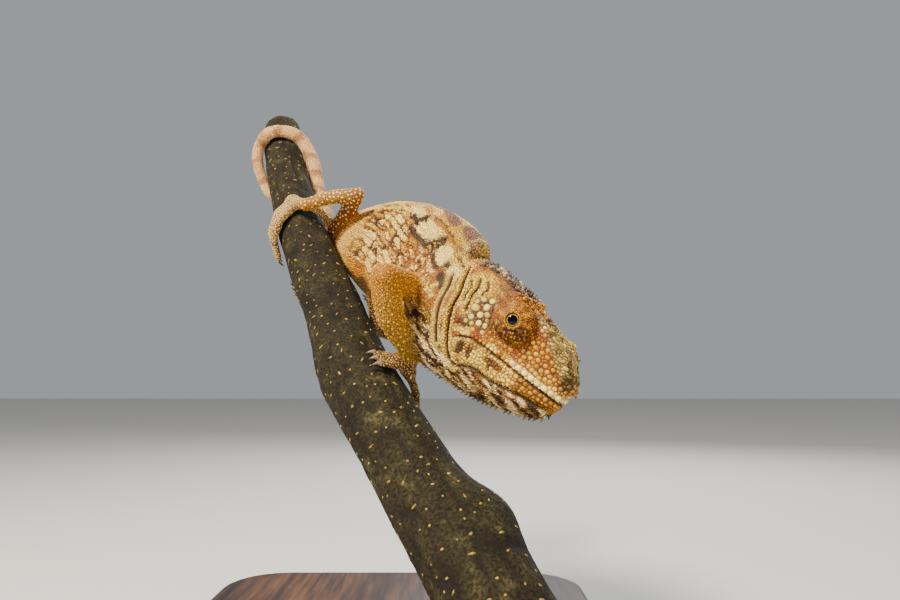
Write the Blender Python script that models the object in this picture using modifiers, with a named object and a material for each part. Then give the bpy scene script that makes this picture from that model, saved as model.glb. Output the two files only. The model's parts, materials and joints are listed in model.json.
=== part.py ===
"""A panther chameleon, life size, creeping head-down along a branch that a display stand holds.

Metres, +Z up. The origin is the centre of the stand's underside. The branch climbs from -Y to +Y and
leans towards -X. The animal rides on its +X side and turns its head out to its own left.
"""

import math

import bmesh
import bpy
from mathutils import Matrix, Vector

# ---------------------------------------------------------------- driving dimensions
# Tables are in millimetres; mm() and the head's frame turn them into metres.
MM = 0.001
GAP = 0.3 * MM  # clearance between neighbouring solids
WORLD_UP = Vector((0, 0, 1))
PARTS = "chameleon_on_branch"  # collections
CUTTERS = "cutters"


def mm(*values):
    return Vector(values) * MM


BASE_SIZE = mm(150, 210, 12)
BASE_CORNER = 24 * MM
BASE_EDGE = 1.5 * MM
ROD_RADIUS = 3.5 * MM
ROD_PLACE = mm(21, -64, 0)
ROD_REACH = 60 * MM  # far enough to run into the branch, which trims it
COLLAR_RADIUS = 8.5 * MM
COLLAR_TOP_RADIUS = 6.8 * MM
COLLAR_HEIGHT = 4 * MM

# The branch's middle line and radius, cut lower end first.
BRANCH = (
    (mm(41, -87, 31), 12.8),
    (mm(28.5, -71.5, 52), 12.2),
    (mm(12, -54, 74), 10.5),
    (mm(-4.5, -36, 98.5), 10.0),
    (mm(-17, -14, 123), 8.9),
    (mm(-30, 7.5, 148), 8.0),
    (mm(-43, 37, 180), 7.4),
    (mm(-48.4, 55, 199), 7.2),
)
MARK = 5  # distances along the branch count from this point of it, positive up the branch
BRANCH_TOP = Vector((0.83, -0.05, 0.55))  # the side that the animal rides on, angle 0 round it
BRANCH_SIDES = 18
BRANCH_RINGS = 17
# Swellings of the bark: distance along, angle round, height, reach along, reach round.
KNOTS = (
    (-124, -5, 3.4, 9, 50),
    (-66, 190, 1.3, 12, 60),
    (-22, 200, 0.6, 10, 50),
)

# The trunk from the vent to the root of the neck: middle line, the way its back faces, half width,
# rise of the back above the middle line and drop of the belly below it.
HIP_BACK = Vector((0.74, 0.02, 0.66))
CHEST_BACK = Vector((0.66, -0.10, 0.74))
TRUNK = (
    (mm(-21.5, 19.7, 146.8), HIP_BACK, 4.6, 5.0, 4.8),
    (mm(-15.5, 14.5, 147.8), HIP_BACK, 6.4, 9.0, 8.2),
    (mm(-4.0, 3.6, 146.1), HIP_BACK, 9.0, 13.4, 17.0),
    (mm(7.0, -9.6, 140.4), CHEST_BACK, 10.6, 15.4, 20.8),
    (mm(13.8, -24.2, 132.3), CHEST_BACK, 10.6, 17.2, 20.4),
    (mm(18.0, -35.4, 124.6), CHEST_BACK, 9.8, 17.2, 16.6),
)
BODY_SIDES = 24
TRUNK_RINGS = 14
FLANK_POWER = 0.92  # below 1 flattens the flanks
BACK_POWER = 1.25  # above 1 keels the back
BELLY_POWER = 1.1

# The head's frame: forward to the snout, up to the crown, right towards the shown side.
HEAD_ORIGIN = mm(20.6, -45.0, 112.6)  # between the corners of the mouth
HEAD_TURN = math.radians(-30)  # of forward, from +X towards +Y
HEAD_PITCH = math.radians(-30.6)
HEAD_ROLL = math.radians(-8)
# Sections from the nape to the snout: place forward, crown height, crest height, crest half width,
# cheek height, cheek half width, lip half width, chin depth, and how far each leans forward in 10 mm.
HEAD = (
    (-4.5, 18.4, 17.0, 3.2, 6.0, 9.4, 9.0, 12.0, 0.0),
    (1.0, 20.2, 19.0, 4.6, 6.4, 10.6, 10.2, 12.6, 0.0),
    (7.5, 19.4, 19.0, 6.2, 6.8, 10.6, 10.4, 12.4, 0.0),
    (13.5, 17.0, 18.2, 7.2, 6.8, 9.6, 9.8, 12.2, 0.0),
    (19.5, 13.6, 15.6, 7.0, 6.0, 8.2, 8.8, 11.4, 0.0),
    (25.0, 11.0, 13.6, 5.9, 5.0, 6.8, 7.6, 10.2, 0.0),
    (30.0, 9.6, 13.0, 5.2, 4.4, 5.6, 6.2, 8.8, 0.3),
    (34.0, 5.4, 7.8, 4.3, 3.2, 4.4, 4.8, 7.2, 0.6),
    (36.4, 2.0, 3.4, 3.0, 1.0, 3.2, 3.2, 4.4, 0.8),
)
ROSTRAL_PLACE = (34.4, 6.4)  # the shelf over the snout's tip: its centre forward and up
ROSTRAL_TIP = (38.4, 1.6)
ROSTRAL_SIZE = (1.5, 4.0)  # half thickness and half width
HEAD_RINGS = 15
JAW_SHARES = ((0.55, 0.80), (0.90, 0.34))  # of the chin's depth and the lip's half width, going down
CHEEK_SWELL = 0.4
# The parting of the mouth, forward and up, running on round the jaw's corner and down.
MOUTH_LINE = (
    (50, -3.2),
    (36, -1.6),
    (22, 0.2),
    (12, 0.4),
    (4, -0.9),
    (0.5, -3.0),
    (-3.5, -9.5),
    (-4.2, -22),
)
EYE_PLACE = (17.9, 10.0, 7.8)  # a turret's centre: forward, up and out
TURRET_SIZE = (6.0, 5.2)  # half size across and along the gaze
EYEBALL_RADIUS = 4.2
LID_THICKNESS = 0.7
PUPIL_OPENING = 1.7
GAZE = {"right": (0.29, 0.05, 0.95), "left": (0.42, 0.10, 0.90)}  # forward, up, out

GULAR_SPINES = 19
GULAR_SPINE_HEIGHT = 1.5
GULAR_SPINE_RADIUS = 0.55

# Limbs: the points of each bone's middle line with the radii there.
ARM_RADII = (4.6, 4.3, 4.0)
FOREARM_RADII = (3.9, 4.0, 2.6)
THIGH_RADII = (3.6, 3.0, 2.6)
SHANK_RADII = (2.5, 2.5, 2.2)
SHOULDER = {"right": mm(14.5, -35.0, 122.0), "left": mm(22, -29, 118)}
ELBOW = {"right": mm(3.6, -55.6, 124.6), "left": mm(27, -11, 112)}
FOREARM = {"right": mm(4.6, -51.0, 115.2), "left": mm(14, -9, 113)}  # half way down
WRIST = {"right": mm(9.9, -42.6, 105.2), "left": mm(1, -12, 113)}
HIP = {"right": mm(-19.5, 9.0, 147.0), "left": mm(-12.5, 14, 145)}
KNEE = {"right": mm(-9.8, -6.6, 157.6), "left": mm(-4.5, 26, 138)}
SHANK = {"right": mm(-18.5, -4.5, 157.2), "left": mm(-11, 20.5, 137)}  # half way down
ANKLE = {"right": mm(-27.5, -2.0, 155.3), "left": mm(-17, 12.5, 135)}
LIMB_SIDES = 10
LIMB_RINGS = 4

# Feet grip the branch with two bundles of toes. For each: the palm's distance along the branch and
# angle round it, the toes' radius, and a row for each bundle with its number of toes, where they end
# (distance and angle) and how far apart their tips lie.
FEET = {
    "hand_right": ((-76, -2), 1.35, ((3, -74, 44, 2.0), (2, -83, -46, 1.8))),
    "hand_left": ((-47, -52), 1.35, ((3, -50, -140, 2.0), (2, -42, -22, 1.8))),
    "foot_right": ((3, 72), 1.7, ((3, -5, 172, 2.2), (2, -2, 0, 2.2))),
    "foot_left": ((-15, -78), 1.6, ((2, -9, -56, 2.0), (3, -18, -150, 2.2))),
}
TOE_SIDES = 6
PALM_SIZE = (3.6, 3.0, 2.4)  # half size along the branch, round it and off it
CLAW_LENGTH = 1.9
CLAW_RADIUS = 0.75
CLAW_ROOT = 0.6  # how deep a claw starts inside its toe
CLAW_DROP = 0.7  # how far its point bends to the bark
STALK_SHARE = 0.92  # the ankle inside a palm, as a share of the wrist's radius

# The tail's middle line: distance along the branch, angle round it, height off the bark, radius.
TAIL = (
    (3.5, -66, 6.4, 4.4),
    (11, -54, 5.0, 3.9),
    (20, -53, 3.8, 3.5),
    (30, -48, 3.2, 3.1),
    (39, -28, 3.0, 2.9),
    (47, 2, 2.9, 2.8),
    (52, 38, 2.8, 2.7),
    (54, 90, 2.7, 2.6),
    (51, 140, 2.6, 2.4),
    (43, 172, 2.4, 2.2),
    (35, 205, 2.2, 2.0),
    (36, 250, 2.0, 1.75),
    (44, 295, 1.8, 1.5),
    (53, 335, 1.6, 1.2),
    (60, 372, 1.3, 0.8),
)
TAIL_ROOT_END = 2  # row where the length that grows out of the hips ends
TAIL_NODES = (("tail_base", 2, 5), ("tail_loop", 5, 9), ("tail_under", 9, 12), ("tail_tip", 12, 14))
TAIL_SIDES = 9

FINISHES = {
    "skin": ((0.72, 0.47, 0.26), 0.55, 0.0),
    "head_skin": ((0.78, 0.44, 0.13), 0.5, 0.0),
    "arm_skin": ((0.80, 0.42, 0.08), 0.5, 0.0),
    "leg_skin": ((0.74, 0.42, 0.20), 0.55, 0.0),
    "tail_skin": ((0.80, 0.60, 0.46), 0.55, 0.0),
    "eye": ((0.02, 0.015, 0.01), 0.08, 0.0),
    "bark": ((0.10, 0.08, 0.055), 0.9, 0.0),
    "plinth": ((0.055, 0.035, 0.024), 0.35, 0.0),
    "steel": ((0.62, 0.62, 0.60), 0.3, 1.0),
}


# ---------------------------------------------------------------- scene and objects
def clear_scene():
    for item in list(bpy.data.objects):
        bpy.data.objects.remove(item)
    for group in list(bpy.data.collections):
        bpy.data.collections.remove(group)


def collection(name):
    group = bpy.data.collections.new(name)
    bpy.context.scene.collection.children.link(group)
    return group


def finish_of(name):
    """The named Principled material, made once."""
    found = bpy.data.materials.get(name)
    if found:
        return found
    colour, roughness, metallic = FINISHES[name]
    made = bpy.data.materials.new(name)
    made.use_nodes = True
    shader = made.node_tree.nodes["Principled BSDF"]
    shader.inputs["Base Color"].default_value = (*colour, 1)
    shader.inputs["Roughness"].default_value = roughness
    shader.inputs["Metallic"].default_value = metallic
    made.diffuse_color = (*colour, 1)
    return made


def add_part(name, mesh, finish):
    """A mesh as a visible sub-part, shaded smooth but for its sharp edges."""
    mesh.name = name
    mesh.shade_smooth()
    mesh.set_sharp_from_angle(angle=math.radians(40))
    part = bpy.data.objects.new(name, mesh)
    part.data.materials.append(finish_of(finish))
    bpy.data.collections[PARTS].objects.link(part)
    return part


def add_cutter(name, mesh):
    cutter = bpy.data.objects.new(name, mesh)
    cutter.hide_render = True
    cutter.display_type = "WIRE"
    bpy.data.collections[CUTTERS].objects.link(cutter)
    return cutter


def combine(part, other, operation, crossing=False):
    """A Boolean with another object, whose own pieces may be crossing each other."""
    modifier = part.modifiers.new(operation.lower() + "_" + other.name, "BOOLEAN")
    modifier.operation = operation
    modifier.solver = "EXACT"
    modifier.use_self = crossing
    modifier.object = other


def cut(part, *cutters):
    for cutter in cutters:
        combine(part, cutter, "DIFFERENCE")


def gather(name, meshes):
    """Several meshes as one."""
    shape = bmesh.new()
    for mesh in meshes:
        shape.from_mesh(mesh)
        bpy.data.meshes.remove(mesh)
    return to_mesh(shape, name)


def to_mesh(shape, name):
    bmesh.ops.recalc_face_normals(shape, faces=shape.faces)
    mesh = bpy.data.meshes.new(name)
    shape.to_mesh(mesh)
    shape.free()
    return mesh


# ---------------------------------------------------------------- curves and lofts
def between(values, t):
    """Catmull-Rom through numbers or vectors; t runs from 0 to the last one's index."""
    last = len(values) - 1
    i = min(int(max(t, 0)), last - 1)
    f = t - i
    b, c = values[i], values[i + 1]
    a = values[i - 1] if i > 0 else b * 2 - c
    d = values[i + 2] if i + 2 <= last else c * 2 - b
    cubic = (b * 3 - a - c * 3 + d) * f**3
    return (b * 2 + (c - a) * f + (a * 2 - b * 5 + c * 4 - d) * f**2 + cubic) * 0.5


def direction(points, t):
    last = len(points) - 1
    return (between(points, min(t + 0.02, last)) - between(points, max(t - 0.02, 0))).normalized()


def steps(start, end, count):
    return [start + (end - start) * i / count for i in range(count + 1)]


def turns(count):
    return [2 * math.pi * i / count for i in range(count)]


def square_to(forward, up):
    """The right and the true up that stand square to forward."""
    right = forward.cross(up).normalized()
    return right, right.cross(forward).normalized()


def loft(name, rings):
    """A closed mesh through rings of one count."""
    shape = bmesh.new()
    rows = [[shape.verts.new(point) for point in ring] for ring in rings]
    count = len(rows[0])
    for back, front in zip(rows, rows[1:]):
        for i in range(count):
            j = (i + 1) % count
            shape.faces.new((back[i], back[j], front[j], front[i]))
    shape.faces.new(rows[0])
    shape.faces.new(rows[-1])
    return to_mesh(shape, name)


def ball(name, centre, axes, sizes, sides=16, rows=10):
    """An ellipsoid: its three directions and the half size along each."""
    shape = bmesh.new()
    bmesh.ops.create_uvsphere(shape, u_segments=sides, v_segments=rows, radius=1)
    turn = Matrix([axis.normalized() * size for axis, size in zip(axes, sizes)]).transposed().to_4x4()
    bmesh.ops.transform(shape, matrix=Matrix.Translation(centre) @ turn, verts=shape.verts)
    return to_mesh(shape, name)


def spike(name, root, tip, radius, tip_radius=0.0, sides=6):
    """A cone from root to tip."""
    shape = bmesh.new()
    length = (tip - root).length
    bmesh.ops.create_cone(
        shape, cap_ends=True, segments=sides, radius1=radius, radius2=tip_radius, depth=length
    )
    turn = (tip - root).to_track_quat("Z", "Y").to_matrix().to_4x4()
    place = Matrix.Translation((root + tip) / 2) @ turn
    bmesh.ops.transform(shape, matrix=place, verts=shape.verts)
    return to_mesh(shape, name)


def tube(name, points, radii, sides=LIMB_SIDES, rings=LIMB_RINGS, grow=0.0, round_ends=(True, True)):
    """A round tube along points, in metres, its ends domed where asked."""
    last = len(points) - 1
    rows = []
    for t in steps(0, last, rings):
        rows.append((between(points, t), direction(points, t), between(radii, t) + grow))
    for end, sign, is_round in ((0, -1, round_ends[0]), (-1, 1, round_ends[1])):
        centre, ahead, radius = rows[end]
        dome = [
            (centre + ahead * sign * radius * math.sin(a), ahead, radius * math.cos(a))
            for a in (math.radians(34), math.radians(66))
        ]
        if is_round:
            rows = dome[::-1] + rows if end == 0 else rows + dome
    side = rows[0][1].orthogonal()
    rings_made = []
    for centre, ahead, radius in rows:
        side = (side - ahead * side.dot(ahead)).normalized()
        other = ahead.cross(side)
        ring = [(side * math.cos(a) + other * math.sin(a)) * radius for a in turns(sides)]
        rings_made.append([centre + out for out in ring])
    return loft(name, rings_made)


# ---------------------------------------------------------------- branch
def branch_at(t):
    """Middle point, direction and radius of the branch at place t of its table."""
    points, radii = zip(*BRANCH)
    return between(points, t), direction(points, t), between(radii, t) * MM


def branch_place(distance):
    """Place in the table that lies a distance, in millimetres, up the branch from its mark."""
    t = float(MARK)
    step = math.copysign(0.01, distance)
    left = abs(distance) * MM
    while left > 0 and 0 < t + step < len(BRANCH) - 1:
        left -= (branch_at(t + step)[0] - branch_at(t)[0]).length
        t += step
    return t


def branch_distance(t):
    """Millimetres along the branch from its mark to place t."""
    count = 40
    places = steps(MARK, t, count)
    total = sum((branch_at(b)[0] - branch_at(a)[0]).length for a, b in zip(places, places[1:]))
    return math.copysign(total, t - MARK) / MM


def swelling(distance, degrees):
    """How much the knots raise the bark here, in metres."""
    total = 0.0
    for along, angle, height, reach_along, reach_round in KNOTS:
        turn = (degrees - angle + 180) % 360 - 180
        total += height * math.exp(-(((distance - along) / reach_along) ** 2) - (turn / reach_round) ** 2)
    return total * MM


def branch_frame(t):
    centre, ahead, radius = branch_at(t)
    right, top = square_to(ahead, BRANCH_TOP)
    return centre, ahead, -right, top, radius


def on_branch(distance, degrees, off=0.0):
    """A point at a height in millimetres off the bark."""
    centre, _, side, top, radius = branch_frame(branch_place(distance))
    a = math.radians(degrees)
    out = top * math.cos(a) + side * math.sin(a)
    return centre + out * (radius + swelling(distance, degrees) + off * MM)


def branch_mesh(name, grow=0.0):
    rings = []
    for t in steps(0, len(BRANCH) - 1, BRANCH_RINGS):
        centre, ahead, side, top, radius = branch_frame(t)
        distance = branch_distance(t)
        if grow:
            centre = centre + ahead * GAP * (1 if t > 1 else -1)
        ring = []
        for a in turns(BRANCH_SIDES):
            reach = radius + swelling(distance, math.degrees(a)) + grow
            ring.append(centre + (top * math.cos(a) + side * math.sin(a)) * reach)
        rings.append(ring)
    return loft(name, rings)


# ---------------------------------------------------------------- trunk and neck
def trunk_frame(t):
    centres, backs, widths, rises, drops = zip(*TRUNK)
    forward = direction(centres, t)
    right, up = square_to(forward, between(backs, t))
    sizes = [between(column, t) * MM for column in (widths, rises, drops)]
    return between(centres, t), forward, right, up, sizes


def trunk_ring(t, grow=0.0):
    """The trunk's outline: flat flanks, a keeled back and a softer belly."""
    centre, _, right, up, (width, rise, drop) = trunk_frame(t)
    ring = []
    for a in turns(BODY_SIDES):
        s, c = math.sin(a), math.cos(a)
        keel = BACK_POWER if c > 0 else BELLY_POWER
        flank = math.copysign(abs(s) ** FLANK_POWER, s) * (width + grow)
        height = math.copysign(abs(c) ** keel, c) * ((rise if c > 0 else drop) + grow)
        ring.append(centre + right * flank + up * height)
    return ring


def trunk_mesh(name, grow=0.0):
    return loft(name, [trunk_ring(t, grow) for t in steps(0, len(TRUNK) - 1, TRUNK_RINGS)])


def bend_between(name, start, heading, end, arriving, count, short=GAP):
    """A soft bend from one outline to another, ending short of each, given the way it runs at each."""
    reach = (centre_of(end) - centre_of(start)).length
    rings = []
    for t in steps(short / reach, 1 - short / reach, count):
        a, b = 2 * t**3 - 3 * t**2 + 1, 3 * t**2 - 2 * t**3
        leave, arrive = t**3 - 2 * t**2 + t, t**3 - t**2
        bend = (heading * leave + arriving * arrive) * reach
        rings.append([p * a + q * b + bend for p, q in zip(start, end)])
    return loft(name, rings)


def neck_mesh(name, grow=0.0):
    trunk_end = len(TRUNK) - 1
    heading = trunk_frame(trunk_end)[1]
    start, end = trunk_ring(trunk_end, grow), head_ring(0, grow)
    return bend_between(name, start, heading, end, head_axes()[0], 6, GAP - 2 * grow)


def tail_root_mesh(name):
    _, forward, _, up, _ = trunk_frame(0)
    end, ahead = tail_ring(TAIL_ROOT_END, BODY_SIDES, up)
    return bend_between(name, trunk_ring(0), -forward, end, ahead, 5)


def centre_of(points):
    return sum(points, Vector()) / len(points)


# ---------------------------------------------------------------- head
def head_axes():
    level = math.cos(HEAD_PITCH)
    forward = Vector((level * math.cos(HEAD_TURN), level * math.sin(HEAD_TURN), math.sin(HEAD_PITCH)))
    right, up = square_to(forward, WORLD_UP)
    roll = Matrix.Rotation(HEAD_ROLL, 3, forward)
    return forward, roll @ right, roll @ up


def head_way(ahead, up, out):
    forward, right, crown = head_axes()
    return forward * ahead + crown * up + right * out


def head_point(ahead, up, out):
    """A point in the head's frame, given in millimetres."""
    return HEAD_ORIGIN + head_way(ahead, up, out) * MM


def head_ring(t, grow=0.0):
    """One section, from the crown down the right side to the chin and up the left."""
    at, crown, crest, crest_wide, cheek, cheek_wide, lip_wide, chin, lean = (
        between(column, t) for column in zip(*HEAD)
    )
    half = (
        (crown, 0),
        (crest, crest_wide),
        ((crest + cheek) / 2, (crest_wide + cheek_wide) / 2 + CHEEK_SWELL),
        (cheek, cheek_wide),
        (0, lip_wide),
        *((-chin * down, lip_wide * wide) for down, wide in JAW_SHARES),
        (-chin, 0),
    )
    heights, widths = zip(*half)
    count = BODY_SIDES // 2
    places = steps(0, len(half) - 1, count)
    side = [(between(heights, place), max(between(widths, place), 0)) for place in places]
    outline = side + [(height, -width) for height, width in side[-2:0:-1]]
    middle = (crown - chin) / 2
    ring = []
    for height, width in outline:
        out = Vector((height - middle, width))
        out += out.normalized() * grow / MM
        ring.append(head_point(at + lean * height / 10, middle + out[0], out[1]))
    return ring


def head_mesh(name, grow=0.0):
    return loft(name, [head_ring(t, grow) for t in steps(0, len(HEAD) - 1, HEAD_RINGS)])


def rostral_mesh(name):
    """The flat shelf that the ridges of the snout form over its tip."""
    (f, u), (tip_f, tip_u) = ROSTRAL_PLACE, ROSTRAL_TIP
    along = head_way(tip_f - f, tip_u - u, 0)
    across = head_axes()[1]
    thick, wide = ROSTRAL_SIZE
    sizes = (along.length * MM, wide * MM, thick * MM)
    return ball(name, head_point(f, u, 0), (along, across, along.cross(across)), sizes, 14, 8)


def jaw_side(name, inset):
    """All that lies below the mouth line, as a prism across the head."""
    line = [Vector((f, u - inset / MM)) for f, u in MOUTH_LINE] + [Vector((50, -20))]
    shape = bmesh.new()
    rows = [[shape.verts.new(head_point(p[0], p[1], out)) for p in line] for out in (-20, 20)]
    shape.faces.new(rows[0])
    shape.faces.new(rows[1])
    for i in range(len(line)):
        j = (i + 1) % len(line)
        shape.faces.new((rows[0][i], rows[0][j], rows[1][j], rows[1][i]))
    return to_mesh(shape, name)


def eye_frame(side):
    """Turret centre, gaze and two directions square to it."""
    sign = 1 if side == "right" else -1
    ahead, up, out = EYE_PLACE
    centre = head_point(ahead, up, out * sign)
    f, u, o = GAZE[side]
    gaze = head_way(f, u, o * sign).normalized()
    across, over = square_to(gaze, head_axes()[2])
    return centre, gaze, across, over


def turret_mesh(name, side, grow=0.0):
    centre, gaze, across, over = eye_frame(side)
    wide, deep = (size * MM + grow for size in TURRET_SIZE)
    return ball(name, centre, (across, over, gaze), (wide, wide, deep), sides=16, rows=8)


def eyeball_mesh(name, side, grow=0.0):
    centre, gaze, across, over = eye_frame(side)
    radius = EYEBALL_RADIUS * MM
    centre = centre + gaze * (TURRET_SIZE[1] - LID_THICKNESS - EYEBALL_RADIUS) * MM
    return ball(name, centre, (across, over, gaze), (radius + grow,) * 3, sides=12, rows=6)


def add_head():
    whole = head_mesh("head")
    shelf = add_cutter("rostral_shelf", rostral_mesh("rostral_shelf"))
    head = add_part("head", whole, "head_skin")
    jaw = add_part("jaw", whole.copy(), "head_skin")
    combine(head, shelf, "UNION")
    cut(head, add_cutter("jaw_side", jaw_side("jaw_side", 0)))
    combine(jaw, add_cutter("jaw_inside", jaw_side("jaw_inside", GAP)), "INTERSECT")
    combine(jaw, add_cutter("gular_spines", gular_spines("gular_spines")), "UNION")
    for side in ("right", "left"):
        turret = add_part("turret_" + side, turret_mesh("turret", side), "head_skin")
        add_part("eye_" + side, eyeball_mesh("eye", side), "eye")
        centre, gaze, _, _ = eye_frame(side)
        tip = centre + gaze * TURRET_SIZE[1] * MM
        hole = spike("pupil_hole", tip - gaze * 2 * MM, tip + gaze * MM, *[PUPIL_OPENING * MM] * 2, 10)
        cut(turret, add_cutter("socket_" + side, eyeball_mesh("socket", side, GAP)))
        cut(turret, add_cutter("pupil_hole_" + side, hole))
        cut(head, add_cutter("orbit_" + side, turret_mesh("orbit", side, GAP)))


def gular_spines(name):
    """A row of small cones under the chin and throat, largest in the middle."""
    cones = []
    last = len(HEAD) - 1
    for i in range(GULAR_SPINES):
        share = i / (GULAR_SPINES - 1)
        t = 0.55 + (last - 1.5) * share
        at, chin, lean = (between([row[c] for row in HEAD], t) for c in (0, 7, 8))
        size = 0.6 + 0.4 * math.sin(math.pi * share)
        root = head_point(at - lean * chin / 10, -chin + 0.5, 0)
        tip = head_point(at - lean * chin / 10 - 0.3, -chin - GULAR_SPINE_HEIGHT * size, 0)
        cones.append(spike("spine", root, tip, GULAR_SPINE_RADIUS * size * MM, 0.0, 4))
    return gather(name, cones)


# ---------------------------------------------------------------- limbs and feet
def add_limb(names, side, points, radii, keep_clear):
    """Upper and lower lengths and the foot of one limb, each cut clear of the one before.

    It returns the cutters that keep the next limb clear of this one.
    """
    upper, lower, extremity = names
    root, bend, middle, end = points
    upper_radii, lower_radii = ([r * MM for r in column] for column in radii)
    finish = "arm_skin" if upper == "upper_arm" else "leg_skin"
    upper_points = [root, (root + bend) / 2, bend]
    lower_points = [bend, middle, end]
    upper_part = add_part(upper + "_" + side, tube(upper, upper_points, upper_radii), finish)
    lower_part = add_part(lower + "_" + side, tube(lower, lower_points, lower_radii), finish)
    foot = add_foot(extremity + "_" + side, end, lower_radii[-1], finish)
    upper_grown = add_cutter("round_" + upper + side, tube(upper, upper_points, upper_radii, grow=GAP))
    lower_grown = add_cutter("round_" + lower + side, tube(lower, lower_points, lower_radii, grow=GAP))
    cut(upper_part, *keep_clear)
    cut(lower_part, *keep_clear, upper_grown)
    cut(foot, *keep_clear, upper_grown, lower_grown)
    return upper_grown, lower_grown


def toe_points(palm, tip, toe_radius, offset, gather):
    """A toe's middle line along the bark from the palm, arched a little on its way."""
    points = []
    for t in steps(0, 1, 4):
        share = gather + (1 - gather) * t
        distance = palm[0] + (tip[0] - palm[0]) * t + offset * share
        degrees = palm[1] + (tip[1] - palm[1]) * t
        arch = toe_radius + 0.35 + 0.5 * math.sin(math.pi * t)
        points.append(on_branch(distance, degrees, arch))
    return points


def add_foot(name, ankle, ankle_radius, finish):
    """Palm, ankle, toes and claws joined into one solid."""
    (distance, degrees), toe_radius, bundles = FEET[name]
    centre = on_branch(distance, degrees, PALM_SIZE[2] + 0.2)
    _, along, _, _, _ = branch_frame(branch_place(distance))
    off = (centre - on_branch(distance, degrees)).normalized()
    axes = (along, off.cross(along), off)
    foot = add_part(name, ball(name, centre, axes, [size * MM for size in PALM_SIZE], 12, 6), finish)
    stalk_points = [ankle, (ankle + centre) / 2, centre]
    stalk_radii = [ankle_radius * STALK_SHARE] * 3
    stalk = tube("stalk", stalk_points, stalk_radii, 8, 2, 0.0, (False, False))
    pieces = [stalk]
    for toes, tip_distance, tip_degrees, spread in bundles:
        for i in range(toes):
            offset = (i - (toes - 1) / 2) * spread
            points = toe_points((distance, degrees), (tip_distance, tip_degrees), toe_radius, offset, 0.6)
            radii = [toe_radius * MM * r for r in (1.1, 1.05, 1.0, 0.95, 0.8)]
            pieces.append(tube("toe", points, radii, TOE_SIDES, 3, 0.0, (False, True)))
            tip, ahead = points[-1], (points[-1] - points[-2]).normalized()
            down = (on_branch(tip_distance + offset, tip_degrees) - tip).normalized()
            root = tip - ahead * CLAW_ROOT * MM
            point = tip + ahead * (toe_radius + CLAW_LENGTH) * MM + down * CLAW_DROP * MM
            pieces.append(spike("claw", root, point, CLAW_RADIUS * MM, 0.0, 4))
    toes = add_cutter("toes_of_" + name, gather("toes", pieces))
    combine(foot, toes, "UNION", crossing=True)
    return foot


# ---------------------------------------------------------------- tail
TAIL_LINE = [on_branch(distance, degrees, off) for distance, degrees, off, _ in TAIL]


def tail_ring(t, sides, up):
    """An outline of the tail, and the way the tail runs there."""
    ahead = direction(TAIL_LINE, t)
    right, over = square_to(-ahead, up)
    centre = between(TAIL_LINE, t)
    radius = between([r for *_, r in TAIL], t) * MM
    return [centre + (over * math.cos(a) + right * math.sin(a)) * radius for a in turns(sides)], ahead


def add_tail(keep_clear):
    root = add_part("tail_root", tail_root_mesh("tail_root"), "tail_skin")
    cut(root, *keep_clear)
    last = len(TAIL) - 1
    for name, start, end in TAIL_NODES:
        # The clearance between lengths, as a share of the distance between two rows.
        share = GAP / (between(TAIL_LINE, start + 1) - between(TAIL_LINE, start)).length
        places = steps(start + share / 2, end - (share / 2 if end < last else 0), 3 * (end - start))
        up = Vector((0, -1, 0))
        rings = []
        for place in places:
            ring, ahead = tail_ring(place, TAIL_SIDES, up)
            up = (up - ahead * up.dot(ahead)).normalized()
            rings.append(ring)
        length = add_part(name, loft(name, rings), "tail_skin")
        cut(length, *keep_clear)


# ---------------------------------------------------------------- stand
def add_stand(keep_clear):
    shape = bmesh.new()
    bmesh.ops.create_cube(shape, size=1)
    place = Matrix.Translation((0, 0, BASE_SIZE.z / 2)) @ Matrix.Diagonal((*BASE_SIZE, 1))
    bmesh.ops.transform(shape, matrix=place, verts=shape.verts)
    upright = [e for e in shape.edges if abs(e.verts[0].co.z - e.verts[1].co.z) > BASE_SIZE.z / 2]
    bmesh.ops.bevel(shape, geom=upright, offset=BASE_CORNER, segments=6, profile=0.5, affect="EDGES")
    base = add_part("stand_base", to_mesh(shape, "stand_base"), "plinth")
    bevel = base.modifiers.new("edges", "BEVEL")
    bevel.width = BASE_EDGE
    bevel.segments = 2
    bevel.angle_limit = math.radians(50)
    top = ROD_PLACE + WORLD_UP * BASE_SIZE.z
    rod_foot = top + WORLD_UP * (COLLAR_HEIGHT + 2 * GAP)
    rod_head = top + WORLD_UP * ROD_REACH
    rod = add_part("stand_rod", spike("stand_rod", rod_foot, rod_head, ROD_RADIUS, ROD_RADIUS, 24), "steel")
    cut(rod, *keep_clear)
    collar_foot = top + WORLD_UP * GAP
    collar_head = collar_foot + WORLD_UP * COLLAR_HEIGHT
    collar = spike("collar", collar_foot, collar_head, COLLAR_RADIUS, COLLAR_TOP_RADIUS, 24)
    add_part("stand_collar", collar, "steel")


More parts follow.
